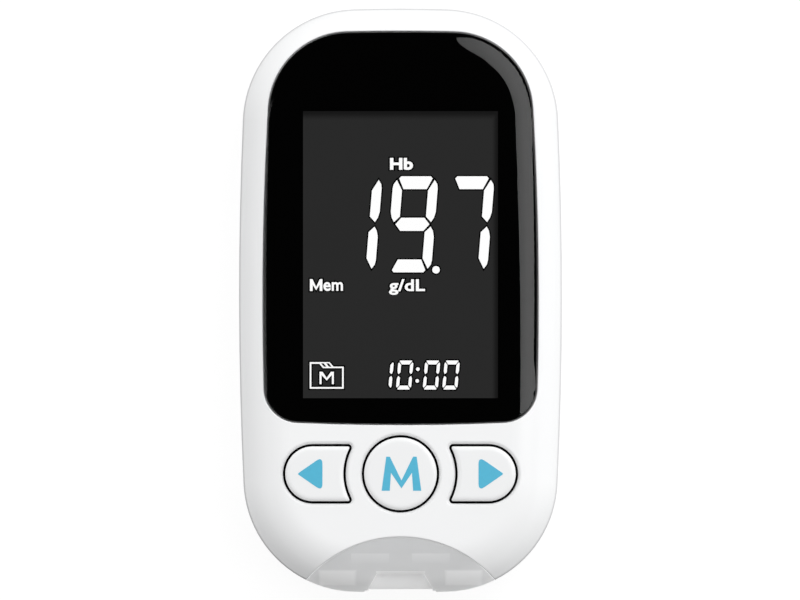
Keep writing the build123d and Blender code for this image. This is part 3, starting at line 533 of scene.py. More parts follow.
@dataclass(frozen=True)
class LitSegment(Finish):
    """A display segment that lets the backlight through."""

    glow: Colour
    roughness: float = 0.4
    strength: float = 1.12

    def light(self, graph: Graph) -> Socket:
        """An even glow with the slightest cloudiness of the diffuser behind it."""
        return graph.tinted(self.glow, 0.015, 4.0)

    def sockets(self, graph: Graph) -> Sockets:
        """A surface that shines and mirrors nothing.

        Args:
            graph: The material's nodes.

        Returns:
            The shader's values and links.
        """
        return {
            "Base Color": (*BLACK, 1.0),
            "Roughness": self.roughness + 0.1 * graph.noise(0.6),
            "Specular IOR Level": 0.0,
            "Emission Color": self.light(graph),
            "Emission Strength": self.strength,
        }


@dataclass(frozen=True, kw_only=True)
class DisplayFace(LitSegment):
    """The lit display's dark grey ground, shaded where the print's edge hangs over it."""

    top: float  # the window's top edge
    right: float  # its right edge
    top_shade: float = 1.5  # how deep the shade under the top edge is
    right_shade: float = 1.1  # how wide the shade at the right edge is
    least: float = 0.35  # the share of the glow in the deepest shade
    roughness: float = 0.35
    strength: float = 1.0

    def light(self, graph: Graph) -> Socket:
        """A glow with painted shade that sinks towards the top and right edges, and a touch uneven, as a real backlight
        is.

        Args:
            graph: The material's nodes.

        Returns:
            The glow's colour.
        """
        across, along, _ = graph.where()
        # painted shade under the print's top and right edges
        below = along.fall(self.top - self.top_shade, self.top)
        beside = across.fall(self.right - self.right_shade, self.right)
        uneven = 0.96 + 0.08 * graph.noise(18.0, 1.0)
        return graph.blend((self.least + (1 - self.least) * (below & beside)) * uneven, BLACK, self.glow)


@dataclass(frozen=True)
class Rubber(Finish):
    """Silicone, filled rubber or closed-cell foam."""

    colour: Colour
    pore: float = 0.3  # how wide one pore or grain is
    pore_depth: float = 0.01
    roughness: float = 0.6
    bleed: float = 0.0  # how much light spreads under its skin

    def sockets(self, graph: Graph) -> Sockets:
        """Open pores that are darker than the skin between them.

        Args:
            graph: The material's nodes.

        Returns:
            The shader's values and links.
        """
        pore = graph.cells(self.pore).fall(0.15, 0.5)
        skin = graph.tinted(self.colour, 0.08, 3.0)
        return {
            "Base Color": graph.blend(0.35 * pore, skin, (0.01, 0.01, 0.01)),
            "Roughness": self.roughness + 0.2 * pore,
            "Subsurface Weight": self.bleed,
            "Subsurface Scale": 0.5 * MM,
            "Normal": graph.relief(1 - pore, self.pore_depth),
        }


@dataclass(frozen=True)
class LayeredRubber(Finish):
    """The display's connector: thin conducting layers between insulating ones, in a silicone skin."""

    skin: Colour
    layer: Colour
    pitch: float = 0.18

    def sockets(self, graph: Graph) -> Sockets:
        """Even stripes across the strip.

        Args:
            graph: The material's nodes.

        Returns:
            The shader's values and links.
        """
        stripe = (graph.where()[0] * (1 / self.pitch)).fract().within(0.5, 0.2, 0.08)
        return {
            "Base Color": graph.blend(stripe, self.skin, self.layer),
            "Roughness": 0.55 + 0.15 * stripe,
            "Normal": graph.relief(stripe, 0.004),
        }


@dataclass(frozen=True)
class BoardLaminate(Finish):
    """Circuit board: solder mask over copper, gold pads, and bare laminate at the cut edges."""

    mask: Colour
    copper: Colour  # of the mask over copper
    gold: Colour
    laminate: Colour
    pad_xs: tuple[float, ...]  # the middles of the round key pads
    pad_y: float
    pad_radius: float = 2.6

    def sockets(self, graph: Graph) -> Sockets:
        """Tracks along the board, plated holes between them, and a split pad under each key.

        Args:
            graph: The material's nodes.

        Returns:
            The shader's values and links.
        """
        across, along, _ = graph.where()
        sway = across + 0.8 * graph.noise(9.0, 1.0)
        track = (sway * 0.8).fract().within(0.5, 0.14, 0.04) & graph.noise(7.0, 1.0).rise(0.45, 0.5)
        fingers = (along * 1.25).fract().within(0.5, 0.3, 0.05)
        pads = graph.cells(3.4).fall(0.09, 0.12)
        for middle in self.pad_xs:
            distance = (across - middle).hypot(along - self.pad_y)
            pads = pads | (distance.fall(self.pad_radius, self.pad_radius + 0.05) & fingers)
        face = abs(graph.facing()[2]).rise(0.4, 0.6)
        ground = graph.blend(track, graph.tinted(self.mask, 0.06, 6.0), self.copper)
        return {
            "Base Color": graph.blend(face, self.laminate, graph.blend(pads, ground, self.gold)),
            "Metallic": pads & face,
            "Roughness": 0.32 + 0.25 * (1 - face) + 0.05 * graph.noise(0.5),
            "Normal": graph.relief(track | pads, 0.02),
        }


@dataclass(frozen=True)
class PlatedMetal(Finish):
    """Plated spring steel, tinned leads, gold contacts or a drawn can."""

    colour: Colour
    roughness: float = 0.28
    stretch: Triple = (6.0, 0.6, 6.0)  # how much denser the rolling marks are along each axis

    def sockets(self, graph: Graph) -> Sockets:
        """Fine rolling marks, and slightly duller blotches where it was handled.

        Args:
            graph: The material's nodes.

        Returns:
            The shader's values and links.
        """
        marks = graph.noise(0.7, 3.0, self.stretch)
        dull = graph.noise(3.5, 3.0).rise(0.5, 0.75)
        return {
            "Base Color": graph.tinted(self.colour, 0.05, 2.5),
            "Metallic": 1.0,
            "Roughness": self.roughness + 0.14 * marks + 0.12 * dull,
            "Normal": graph.relief(marks, 0.002),
        }


@dataclass(frozen=True)
class MouldedPackage(Finish):
    """A chip, LED, buzzer or capacitor body."""

    body: Colour
    ends: Colour | None = None  # of the faces that look along the case, where they differ

    def sockets(self, graph: Graph) -> Sockets:
        """A fine mould grain, with the ends in their own colour.

        Args:
            graph: The material's nodes.

        Returns:
            The shader's values and links.
        """
        grain = graph.noise(0.18)
        colour = graph.tinted(self.body, 0.12, 0.9)
        if self.ends:
            colour = graph.blend(abs(graph.facing()[1]).rise(0.6, 0.8), colour, self.ends)
        return {
            "Base Color": colour,
            "Roughness": 0.55 + 0.15 * grain,
            "Normal": graph.relief(grain, 0.006),
        }


@dataclass(frozen=True)
class CellSleeve(Finish):
    """A dry cell: plated steel ends, a plain shrink sleeve, and a polarity band near the raised end."""

    axis_x: float
    axis_z: float
    nub_y: float  # where the raised end is
    up: int  # 1 when the raised end points up the case, and -1 when it points down
    sleeve: Colour = (0.035, 0.05, 0.075)
    band: Colour = (0.6, 0.62, 0.64)
    steel: Colour = (0.7, 0.7, 0.69)
    sleeve_radius: float = 5.02  # from this radius outwards it is sleeve
    band_y: float = 5.5  # how far the band's middle lies from the raised end
    band_half: float = 3.5
    minus_y: float = 39.5  # and how far the minus sign's does
    sign: Point = (1.4, 0.35)  # half the length and half the width of a sign's stroke

    def sockets(self, graph: Graph) -> Sockets:
        """Sleeve, band with a plus sign on the side of the door, a minus sign at the flat end, and bare ends.

        Args:
            graph: The material's nodes.

        Returns:
            The shader's values and links.
        """
        across, along, height = graph.where()
        offset, rise = across - self.axis_x, height - self.axis_z
        covered = (offset * offset + rise * rise).rise(self.sleeve_radius**2 - 0.3, self.sleeve_radius**2 + 0.3)
        inward = (self.nub_y - along) * self.up
        below = rise.fall(-0.1, 0.1)
        strokes = ((self.band_y, self.sign), (self.band_y, self.sign[::-1]), (self.minus_y, self.sign))
        level, upright, dash = (Patch((0.0, y), half).mask(offset, inward) for y, half in strokes)
        band = inward.within(self.band_y, self.band_half, 0.08)
        printed = graph.blend(band, graph.tinted(self.sleeve, 0.05, 5.0), self.band)
        signed = graph.blend((level | upright) & below, graph.blend(dash & below, printed, self.band), self.sleeve)
        wrinkle = graph.noise(2.2, 2.0, (1.0, 0.3, 1.0))
        return {
            "Base Color": graph.blend(covered, self.steel, signed),
            "Metallic": 1 - covered,
            "Roughness": 0.3 + 0.12 * wrinkle,
            "Normal": graph.relief(wrinkle, 0.01),
        }


@dataclass(frozen=True)
class FloorPaint(Finish):
    """A white floor that keeps a faint shadow and is seen only from above."""

    shaded: float = 0.24  # the part of its white that takes the shadow
    glow: float = 0.82  # the part that no shadow darkens

    def surface(self, graph: Graph) -> Socket:
        """A matt coat on a glow, clear from below.

        Args:
            graph: The material's nodes.

        Returns:
            The finished shader.
        """
        grain = self.shaded + 0.01 * (graph.noise(30.0) - 0.5)
        matt = graph.value("ShaderNodeBsdfDiffuse", {"Color": graph.blend(grain, BLACK, WHITE)})
        glow = graph.value("ShaderNodeEmission", {"Strength": self.glow})
        both = graph.value("ShaderNodeAddShader", {0: matt, 1: glow})
        under = graph.value("ShaderNodeNewGeometry", output="Backfacing")
        return graph.value(MIX_SHADER, {0: under, 1: both, 2: graph.value("ShaderNodeBsdfTransparent")})


@dataclass(frozen=True)
class BoxFabric(Finish):
    """The lit front of a soft box, dimmer at its left end."""

    glow: float = 2.5
    dim: Colour = (0.64, 0.64, 0.64)
    dim_x: Point = (10.0, 260.0)  # it grows to its full brightness between these

    def surface(self, graph: Graph) -> Socket:
        """The glow."""
        colour = graph.blend(graph.where()[0].rise(*self.dim_x), self.dim, WHITE)
        return graph.value("ShaderNodeEmission", {"Color": colour, "Strength": self.glow})


# ---------------------------------------------------------------- flat and turned parts
def corners(outline: Outline) -> Iterable[tuple[Vector, Vector, Vector]]:
    """Goes round a closed outline.

    Args:
        outline: Its points.

    Yields:
        The point before, each point and the point after.
    """
    points = [Vector(point) for point in outline]
    for index, here in enumerate(points):
        yield points[index - 1], here, points[(index + 1) % len(points)]


def grown(outline: Outline, distance: float) -> Outline:
    """Moves a closed outline outwards.

    Args:
        outline: Its points, in either direction.
        distance: How far, in millimetres; inwards when it is below 0.

    Returns:
        The new outline.
    """
    area = sum(before.x * here.y - here.x * before.y for before, here, _ in corners(outline))
    turn = math.copysign(1.0, area)
    result = []
    for before, here, after in corners(outline):
        into, out = (here - before).normalized(), (after - here).normalized()
        normals = [Vector((way.y, -way.x)) * turn for way in (into, out)]
        sharpness = max(BLUNTEST, 1 + normals[0].dot(normals[1]))
        point = here + (normals[0] + normals[1]) * (distance / sharpness)
        result.append((point.x, point.y))
    return result


def rounded(outline: Outline, radii: Iterable[float], steps: int = 6) -> Outline:
    """Rounds the corners of a closed outline with parabolic arcs.

    Args:
        outline: Its points.
        radii: How far from each corner its arc starts.
        steps: How many points each arc gets.

    Returns:
        The rounded outline.
    """
    result = []
    for (before, here, after), radius in zip(corners(outline), radii):
        arms = (before - here, after - here)
        start, end = (here + arm.normalized() * min(radius, arm.length / 2) for arm in arms)
        for step in range(steps + 1):
            share = step / steps
            point = start.lerp(here, share).lerp(here.lerp(end, share), share)
            result.append((point.x, point.y))
    return result


def circle(middle: Point, radius: float, steps: int = 48) -> Outline:
    """A round outline about a middle point."""
    turns = [math.tau * step / steps for step in range(steps)]
    return [(middle[0] + radius * math.cos(turn), middle[1] + radius * math.sin(turn)) for turn in turns]


def mirrored(outline: Outline) -> Outline:
    """The outline on the other side of the meter's middle line."""
    return [(-x, y) for x, y in outline]


def shifted(outline: Outline, across: float, along: float) -> Outline:
    """The outline, moved."""
    return [(x + across, y + along) for x, y in outline]


def linked(name: str, data: bpy.types.ID) -> bpy.types.Object:
    """Puts a mesh, camera or lamp into the scene.

    Args:
        name: The object's name.
        data: What it shows.

    Returns:
        The new object.
    """
    made = bpy.data.objects.new(name, data)
    bpy.context.scene.collection.objects.link(made)
    return made


def mesh_from(work: bmesh.types.BMesh, name: str) -> bpy.types.Mesh:
    """Turns finished work into a mesh.

    Args:
        work: The work, which is used up.
        name: The mesh's name.

    Returns:
        The new mesh.
    """
    mesh = bpy.data.meshes.new(name)
    work.to_mesh(mesh)
    work.free()
    return mesh


def mesh_of(curve: bpy.types.Curve) -> bpy.types.Mesh:
    """Turns a curve or text into a mesh.

    Args:
        curve: The curve or text.

    Returns:
        Its mesh.
    """
    carrier = bpy.data.objects.new("carrier", curve)
    mesh = bpy.data.meshes.new_from_object(carrier)
    bpy.data.objects.remove(carrier)
    return mesh


def new_object(name: str, mesh: bpy.types.Mesh) -> bpy.types.Object:
    """Cleans a mesh, turns it into metres and puts it into the scene.

    Args:
        name: The piece's name.
        mesh: Its mesh, in millimetres.

    Returns:
        The new object.
    """
    work = bmesh.new()
    work.from_mesh(mesh)
    bmesh.ops.remove_doubles(work, verts=work.verts, dist=WELD)
    bmesh.ops.dissolve_degenerate(work, edges=work.edges, dist=SLIVER)
    bmesh.ops.recalc_face_normals(work, faces=work.faces)
    work.to_mesh(mesh)
    work.free()
    mesh.transform(Matrix.Scale(MM, 4))
    mesh.name = name
    mesh.materials.clear()
    return linked(name, mesh)


def joined(name: str, pieces: list[bpy.types.Object]) -> bpy.types.Object:
    """Joins pieces into one object.

    Args:
        name: The new piece's name.
        pieces: The pieces, which are used up.

    Returns:
        The joined piece.
    """
    work = bmesh.new()
    for piece in pieces:
        mesh = piece.data
        work.from_mesh(mesh)
        bpy.data.objects.remove(piece)
        bpy.data.meshes.remove(mesh)
    return linked(name, mesh_from(work, name))


@dataclass
class FlatPart:
    """A flat piece cut from sheet, or printed as a film."""

    name: str
    outlines: Sequence[Outline]  # closed; one inside another is a hole
    low_z: float
    thickness: float
    edge: float = 0.0  # how much its edges are rounded

    def build(self) -> bpy.types.Object:
        """Makes the piece.

        Returns:
            The new object.
        """
        curve = bpy.data.curves.new(self.name, "CURVE")
        curve.dimensions = "2D"
        curve.fill_mode = "BOTH"
        curve.extrude = self.thickness / 2 - self.edge
        curve.bevel_depth = self.edge
        curve.bevel_resolution = 2
        curve.offset = -self.edge
        for outline in self.outlines:
            spline = curve.splines.new("POLY")
            spline.points.add(len(outline) - 1)
            for point, (x, y) in zip(spline.points, outline):
                point.co = (x, y, 0.0, 1.0)
            spline.use_cyclic_u = True
        mesh = mesh_of(curve)
        mesh.transform(Matrix.Translation((0.0, 0.0, self.low_z + self.thickness / 2)))
        made = new_object(self.name, mesh)
        if self.edge:
            smooth(made, FILM_CREASE)
        return made


@dataclass
class TurnedPart:
    """A piece turned about an upright axis."""

    name: str
    profile: list[Point]  # radius and height of each corner, all the way round the section
    middle: Point
    steps: int = 96  # how many flats it is made of

    def build(self) -> bpy.types.Object:
        """Makes the piece.

        Returns:
            The new object.
        """
        work = bmesh.new()
        rings = []
        for step in range(self.steps):
            turn = math.tau * step / self.steps
            x, y = math.cos(turn), math.sin(turn)
            rings.append([work.verts.new((self.middle[0] + r * x, self.middle[1] + r * y, z)) for r, z in self.profile])
        for ring, after in zip(rings, rings[1:] + rings[:1]):
            sections = list(zip(ring, after))
            for (here, ahead), (follow, across) in zip(sections, sections[1:] + sections[:1]):
                work.faces.new((here, ahead, across, follow))
        made = new_object(self.name, mesh_from(work, self.name))
        smooth(made, DOME_CREASE)
        return made


def smooth(piece: bpy.types.Object, degrees: float) -> None:
    """Shades a piece smooth, except across edges sharper than the angle."""
    piece.data.shade_smooth()
    piece.data.set_sharp_from_angle(angle=math.radians(degrees))


def settle(piece: bpy.types.Object, finish: Finish, body: str) -> bpy.types.Object:
    """Gives a piece its finish and the body it rides on.

    Args:
        piece: The piece.
        finish: Its finish.
        body: The moving or fixed body that carries it.

    Returns:
        The piece.
    """
    piece.data.materials.append(material_of(finish))
    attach(piece, body)
    LOG.info("%s on %s", piece.name, body)
    return piece


def box_of(node: str) -> list[Vector]:
    """The lowest and highest corners of a node, in millimetres."""
    return [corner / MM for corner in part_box(node)]


def middle_of(node: str) -> Point:
    """The middle of a node's footprint, in millimetres."""
    low, high = box_of(node)
    return (low.x + high.x) / 2, (low.y + high.y) / 2


def footprint(node: str, corner: float, steps: int = 6) -> Outline:
    """The rectangle that a node covers, with rounded corners."""
    low, high = box_of(node)
    return rounded([(low.x, low.y), (high.x, low.y), (high.x, high.y), (low.x, high.y)], [corner] * 4, steps)


# ---------------------------------------------------------------- display
@dataclass(frozen=True)
class DigitCell:
    """The seven strokes of one digit."""

    width: float
    height: float
    bar: float  # how thick the level strokes are
    stem: float  # how thick the upright strokes are
    slack: float = 0.05  # how far each stroke is shrunk, which parts it from the next
    lean: float = 4.6  # how far it leans to the right, in degrees
    reach: float = 0.57  # how far from the cell's sides the top and bottom strokes end, in stem widths
    crown: float = 0.25  # how far from the cell's top and bottom the upright strokes end, in bar widths

    def strokes(self) -> dict[str, Outline]:
        """Draws the strokes.

        Returns:
            Each stroke's outline by its letter, upright, about the cell's middle.
        """
        w, h, bar, stem = self.width / 2, self.height / 2, self.bar, self.stem
        end = w - self.reach * stem
        top = [
            (-end, h - 0.18 * bar),
            (0.21 * stem - end, h),
            (end - 0.21 * stem, h),
            (end, h - 0.18 * bar),
            (w - 1.09 * stem, h - bar),
            (1.09 * stem - w, h - bar),
        ]
        side = [
            (w - 0.39 * stem, h - self.crown * bar),
            (w - 0.07 * stem, h - 0.6 * bar),
            (w, h - 0.92 * bar),
            (w, 0.92 * bar),
            (w - 0.14 * stem, 0.48 * bar),
            (w - 0.42 * stem, 0.13 * bar),
            (w - stem, 0.57 * bar),
            (w - stem, h - 1.07 * bar),
        ]
        middle = [
            (0.55 * stem - w, 0.0),
            (1.1 * stem - w, 0.51 * bar),
            (w - 1.1 * stem, 0.51 * bar),
            (w - 0.52 * stem, 0.0),
            (w - 1.1 * stem, -0.51 * bar),
            (1.1 * stem - w, -0.51 * bar),
        ]
        lower, bottom = ([(x, -y) for x, y in stroke] for stroke in (side, top))
        return dict(zip("abcdefg", (top, side, lower, bottom, mirrored(lower), mirrored(side), middle)))

    def digit(self, figure: str, middle: Point) -> list[Outline]:
        """Draws one figure.

        Args:
            figure: The figure.
            middle: Where the cell's middle stands.

        Returns:
            The outlines of the strokes that are lit.
        """
        lit = {"0": "abcdef", "1": "bc", "7": "abc", "9": "abcdfg"}[figure]
        slope = math.tan(math.radians(self.lean))
        strokes = self.strokes()
        leaning = [grown([(x + y * slope, y) for x, y in strokes[letter]], -self.slack) for letter in lit]
        return [shifted(stroke, *middle) for stroke in leaning]


@dataclass(frozen=True)
class Label:
    """A short word on the display, fitted between its edges."""

    name: str
    words: str
    left: float
    right: float
    low: float
    high: float
    weight: float  # how far its strokes are thickened
    size: float = 2.6  # of the type before it is fitted
    spacing: float = 1.04

    def build(self, low_z: float, thickness: float, spread: float) -> bpy.types.Object:
        """Makes the word as a thin film.

        Args:
            low_z: The height of its underside.
            thickness: How thick the film is.
            spread: How far each letter is swollen beyond its bold shape.

        Returns:
            The new object.
        """
        text = bpy.data.curves.new(self.name, "FONT")
        text.body = self.words
        text.size = self.size
        text.offset = self.weight
        text.space_character = self.spacing
        text.resolution_u = 6
        text.extrude = thickness / 2
        mesh = mesh_of(text)
        xs, ys, _ = zip(*(vertex.co for vertex in mesh.vertices))
        wide = (self.right - self.left) / (max(xs) - min(xs))
        tall = (self.high - self.low) / (max(ys) - min(ys))
        if spread:
            text.offset += spread / ((wide + tall) / 2)
            mesh = mesh_of(text)
        start = (self.left - min(xs) * wide, self.low - min(ys) * tall, low_z + thickness / 2)
        mesh.transform(Matrix.Translation(start) @ Matrix.Diagonal((wide, tall, 1.0, 1.0)))
        return new_object(self.name, mesh)


@dataclass(frozen=True)
class LetterM:
    """The letter M as one outline."""

    half_width: float  # at the foot
    height: float
    stem: float  # how thick its legs are at the foot
    top: float  # how wide the flat top of each leg is
    splay: float = 0.0  # how far its legs spread towards the foot
    notch: float = 0.34  # how high its middle notch ends, as a share of its height
    point: float = 0.06  # how high its middle point ends
    join: float = 0.54  # how high the middle strokes leave the legs

    def outline(self, middle: Point) -> Outline:
        """Draws it.

        Args:
            middle: Its middle.

        Returns:
            Its outline.
        """
        foot, head, low = self.half_width, self.half_width - self.splay, -self.height / 2
        right = [
            (0.0, low + self.point * self.height),
            (foot - self.stem - 0.25 * self.splay, low + self.join * self.height),
            (foot - self.stem, low),
            (foot, low),
            (head, low + self.height),
            (head - self.top, low + self.height),
            (0.0, low + self.notch * self.height),
        ]
        return shifted([*right, *mirrored(right[-2:0:-1])], *middle)


@dataclass
class Display:
    """What the display shows: each group of lit shapes over a slightly wider dark film, a painted shadow round each
    shape.
    """

    face_z: float
    film: float = 0.02  # how thick the shapes are
    shadow_reach: float = 0.24  # how far the painted shadow reaches beyond a shape
    lit: Finish = LitSegment("segment_white", (0.97, 0.97, 0.97))
    # painted shadow: the near black film under each lit shape
    dark: Finish = InkFilm("segment_painted_shadow", (0.001, 0.001, 0.001), 0.6, 0.0)
    reading: DigitCell = DigitCell(7.66, 16.24, bar=2.26, stem=1.69)
    reading_at: tuple[Point, ...] = ((-7.44, 12.8), (1.98, 12.8), (11.4, 12.8))
    decimal_point: tuple[Point, float, int] = ((5.97, 5.16), 0.63, 24)
    clock: DigitCell = DigitCell(2.62, 4.95, bar=0.74, stem=0.59, slack=0.035, lean=5.2, reach=0.36, crown=0.42)
    clock_at: tuple[Point, ...] = ((-2.6, -12.52), (0.71, -12.52), (5.21, -12.52), (8.49, -12.52))
    colon: tuple[tuple[Point, float, int], ...] = (((2.92, -11.53), 0.31, 16), ((2.81, -13.51), 0.31, 16))
    capital: LetterM = LetterM(1.05, 2.0, stem=0.46, top=0.43)  # of the memory label
    capital_at: Point = (-14.17, 2.6)
    sign_letter: LetterM = LetterM(1.2, 2.08, stem=0.33, top=0.5, notch=0.5, point=0.29, join=0.74)
    sign_letter_at: Point = (-12.4, -13.01)
    folder_left: float = -15.25
    folder: tuple[Point, ...] = ((-9.54, -14.82), (-9.54, -11.11), (-11.24, -11.11), (-11.93, -10.35))
    opening_left: float = -14.98
    opening: tuple[Point, ...] = ((-9.82, -14.54), (-9.82, -11.36), (-13.03, -11.36), (-13.62, -10.64))
    tab_window: tuple[Point, ...] = ((-13.35, -10.55), (-12.9, -10.55), (-12.43, -11.13), (-12.87, -11.13))
    tab_pitch: float = 0.86  # how far the tab's second slanted window is from its first
    labels: tuple[Label, ...] = (
        Label("label_haemoglobin", "Hb", -1.77, 2.1, 21.94, 23.96, 0.11),
        Label("label_memory", "em", -12.95, -9.67, 1.6, 3.1, 0.06),
        Label("label_unit", "g/dL", -1.93, 4.12, 0.95, 3.6, 0.07),
    )

    def show(
        self,
        name: str,
        shapes: Sequence[Outline],
        openings: Sequence[Outline] = (),
        windows: Sequence[Outline] = (),
    ) -> None:
        """Adds one group of lit shapes and the dark film under it, a painted shadow.

        Args:
            name: The group's name.
            shapes: Outlines of the lit shapes.
            openings: Outlines of openings in them that show the ground.
            windows: Outlines of small openings that the painted shadow fills.
        """
        wide = [grown(shape, self.shadow_reach) for shape in shapes]
        narrow = [grown(opening, -self.shadow_reach) for opening in openings]
        lit = FlatPart(name, [*shapes, *openings, *windows], self.face_z + self.film, self.film).build()
        settle(lit, self.lit, "case")
        if narrow:
            edge = FlatPart(f"{name}_edge", wide + narrow, self.face_z, self.film).build()
        else:
            names = (f"{name}_edge_{number}" for number in range(len(wide)))
            parts = [FlatPart(part, [shape], self.face_z, self.film).build() for part, shape in zip(names, wide)]
            edge = joined(f"{name}_edge", parts)
        settle(edge, self.dark, "case")

    def build(self) -> None:
        """Builds the reading, the clock, the memory sign, which is a folder with a tab, and the words."""
        figures, time = (
            [stroke for figure, middle in zip(text, places) for stroke in cell.digit(figure, middle)]
            for cell, text, places in ((self.reading, "197", self.reading_at), (self.clock, "1000", self.clock_at))
        )
        folder, opening = (
            [(left, side[0][1]), *side, (left, side[-1][1])]
            for left, side in ((self.folder_left, self.folder), (self.opening_left, self.opening))
        )
        windows = [shifted(self.tab_window, step * self.tab_pitch, 0.0) for step in (0, 1)]
        self.show("reading", [*figures, circle(*self.decimal_point)])
        self.show("clock", [*time, *(circle(*dot) for dot in self.colon)])
        self.show("memory_sign_frame", [folder], [opening], windows)
        self.show("memory_sign_letter", [self.sign_letter.outline(self.sign_letter_at)])
        self.show("label_memory_capital", [self.capital.outline(self.capital_at)])
        for label in self.labels:
            settle(label.build(self.face_z + self.film, self.film, 0.0), self.lit, "case")
            # painted shadow under the word
            edge = label.build(self.face_z, self.film, self.shadow_reach)
            edge.name = f"{label.name}_edge"
            settle(edge, self.dark, "case")


# ---------------------------------------------------------------- keys
class Key(Enum):
    """The three keys, from left to right."""

    LEFT = "left"
    MEMORY = "memory"
    RIGHT = "right"

    @property
    def body(self) -> str:
        """The body that the key moves with."""
        return f"{self.value}_key"

    @property
    def button(self) -> str:
        """The key's cap."""
        return f"{self.value}_button"

    @property
    def joint(self) -> str:
        """The joint that the key moves on."""
        return f"{self.value}_key_press"

    @property
    def middle(self) -> Point:
        """Where its contact pill stands."""
        return middle_of(f"{self.value}_contact_pill")


@dataclass
class KeySymbols:
    """Symbols printed on the key caps."""

    ink: Finish = InkFilm("key_ink_cyan", (0.075, 0.445, 0.640), 0.42, 0.4)
    film: float = 0.02  # how thick the ink lies
    tip_x: float = 17.33  # how far from the middle line the arrows' tips are
    base_x: float = 13.1
    half_height: float = 2.93  # of an arrow before its corners are rounded
    arrow_corners: tuple[float, ...] = (0.35, 1.3, 1.3)  # how far its tip and the corners at its base are rounded
    letter: LetterM = LetterM(3.33, 5.72, stem=1.37, top=0.6, splay=0.78, notch=0.3, point=0.07, join=0.53)
    letter_shift: Point = (0.16, 0.02)  # how far the letter stands from the middle of its key

    def build(self) -> None:
        """Prints an arrow on each side key and a letter on the middle key."""
        row_y = middle_of(Key.MEMORY.button)[1]
        high, low = row_y + self.half_height, row_y - self.half_height
        arrow = rounded([(self.tip_x, row_y), (self.base_x, high), (self.base_x, low)], self.arrow_corners)
        letter = self.letter.outline((self.letter_shift[0], row_y + self.letter_shift[1]))
        for key, outline in ((Key.LEFT, mirrored(arrow)), (Key.MEMORY, letter), (Key.RIGHT, arrow)):
            symbol = FlatPart(f"{key.value}_symbol", [outline], box_of(key.button)[1].z, self.film).build()
            settle(symbol, self.ink, key.body)


@dataclass
class Keypad:
    """The soft mat under the keys: a sheet on the board and a collapsing dome with its plunger under each key."""

    finish: Finish
    sheet: float = 0.8  # how thick the sheet is
    sheet_corner: float = 4.8
    sheet_edge: float = 0.08
    foot_radius: float = 4.4  # the dome's radius where it leaves the sheet
    wall: float = 0.6
    plunger_radius: float = 2.7
    hollow_radius: float = 2.2  # the hollow's radius at its roof, round the contact pill
    pill_top: float = 1.2  # how far the hollow's roof stands above the board
    travel: float = 0.8  # how far a key goes down

    def build(self) -> None:
        """Builds the sheet and the three domes in the place of the plain mat."""
        low, high = box_of("keypad_mat")
        outlines = [footprint("keypad_mat", self.sheet_corner, 10)]
        outlines += [circle(key.middle, self.foot_radius) for key in Key]
        sheet = FlatPart("keypad_sheet", outlines, low.z, self.sheet, self.sheet_edge).build()
        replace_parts(settle(sheet, self.finish, "case"), "keypad_mat")
        for key in Key:
            middle = key.middle
            dome = TurnedPart(f"keypad_dome_{key.value}", self.section(low.z, high.z), middle).build()
            settle(dome, self.finish, "case")
            anchor = (middle[0] * MM, middle[1] * MM, low.z * MM)
            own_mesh(dome)

    def section(self, base: float, top: float) -> list[Point]:
        """Draws half the dome's section.

        Args:
            base: The board's height.
            top: The height of the plunger's top.

        Returns:
            Radius and height of each corner.
        """
        roof = base + self.pill_top
        shoulder = base + self.sheet + self.pill_top
        return [
            (0.001, roof),
            (self.hollow_radius - 0.2, roof),
            (self.hollow_radius, roof - 0.15),
            (self.foot_radius - self.wall, base),
            (self.foot_radius, base),
            (self.foot_radius, base + self.sheet - 0.1),
            (self.foot_radius - 0.1, base + self.sheet + 0.05),
            (self.plunger_radius + 0.25, shoulder - 0.05),
            (self.plunger_radius, shoulder + 0.25),
            (self.plunger_radius, top - 0.2),
            (self.plunger_radius - 0.06, top - 0.06),
            (self.plunger_radius - 0.2, top),
            (0.001, top),
        ]


# ---------------------------------------------------------------- back and door
@dataclass
class DoorDetails:
    """The foam pad inside the battery door, and the opening arrow moulded on its outside."""

    foam: Finish
    plastic: Finish
    pad_corner: float = 1.0
    pad_edge: float = 0.12
    arrow_half_width: float = 1.9
    arrow_length: float = 2.4
    arrow_y: float = 24.2  # where the arrow's base is
    arrow_corner: float = 0.25
    relief: float = 0.08  # how far the arrow stands out

    def build(self) -> None:
        """Builds both pieces on the door."""
        low, high = box_of("battery_door_pad")
        outline = footprint("battery_door_pad", self.pad_corner)
        pad = FlatPart("door_foam_pad", [outline], low.z, high.z - low.z, self.pad_edge).build()
        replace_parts(settle(pad, self.foam, "door"), "battery_door_pad")
        half, tip = self.arrow_half_width, self.arrow_y - self.arrow_length
        arrow = rounded([(-half, self.arrow_y), (half, self.arrow_y), (0.0, tip)], [self.arrow_corner] * 3)
        face = box_of("battery_door")[0].z
        mark = FlatPart("door_arrow", [arrow], face - self.relief, self.relief).build()
        settle(mark, self.plastic, "door")


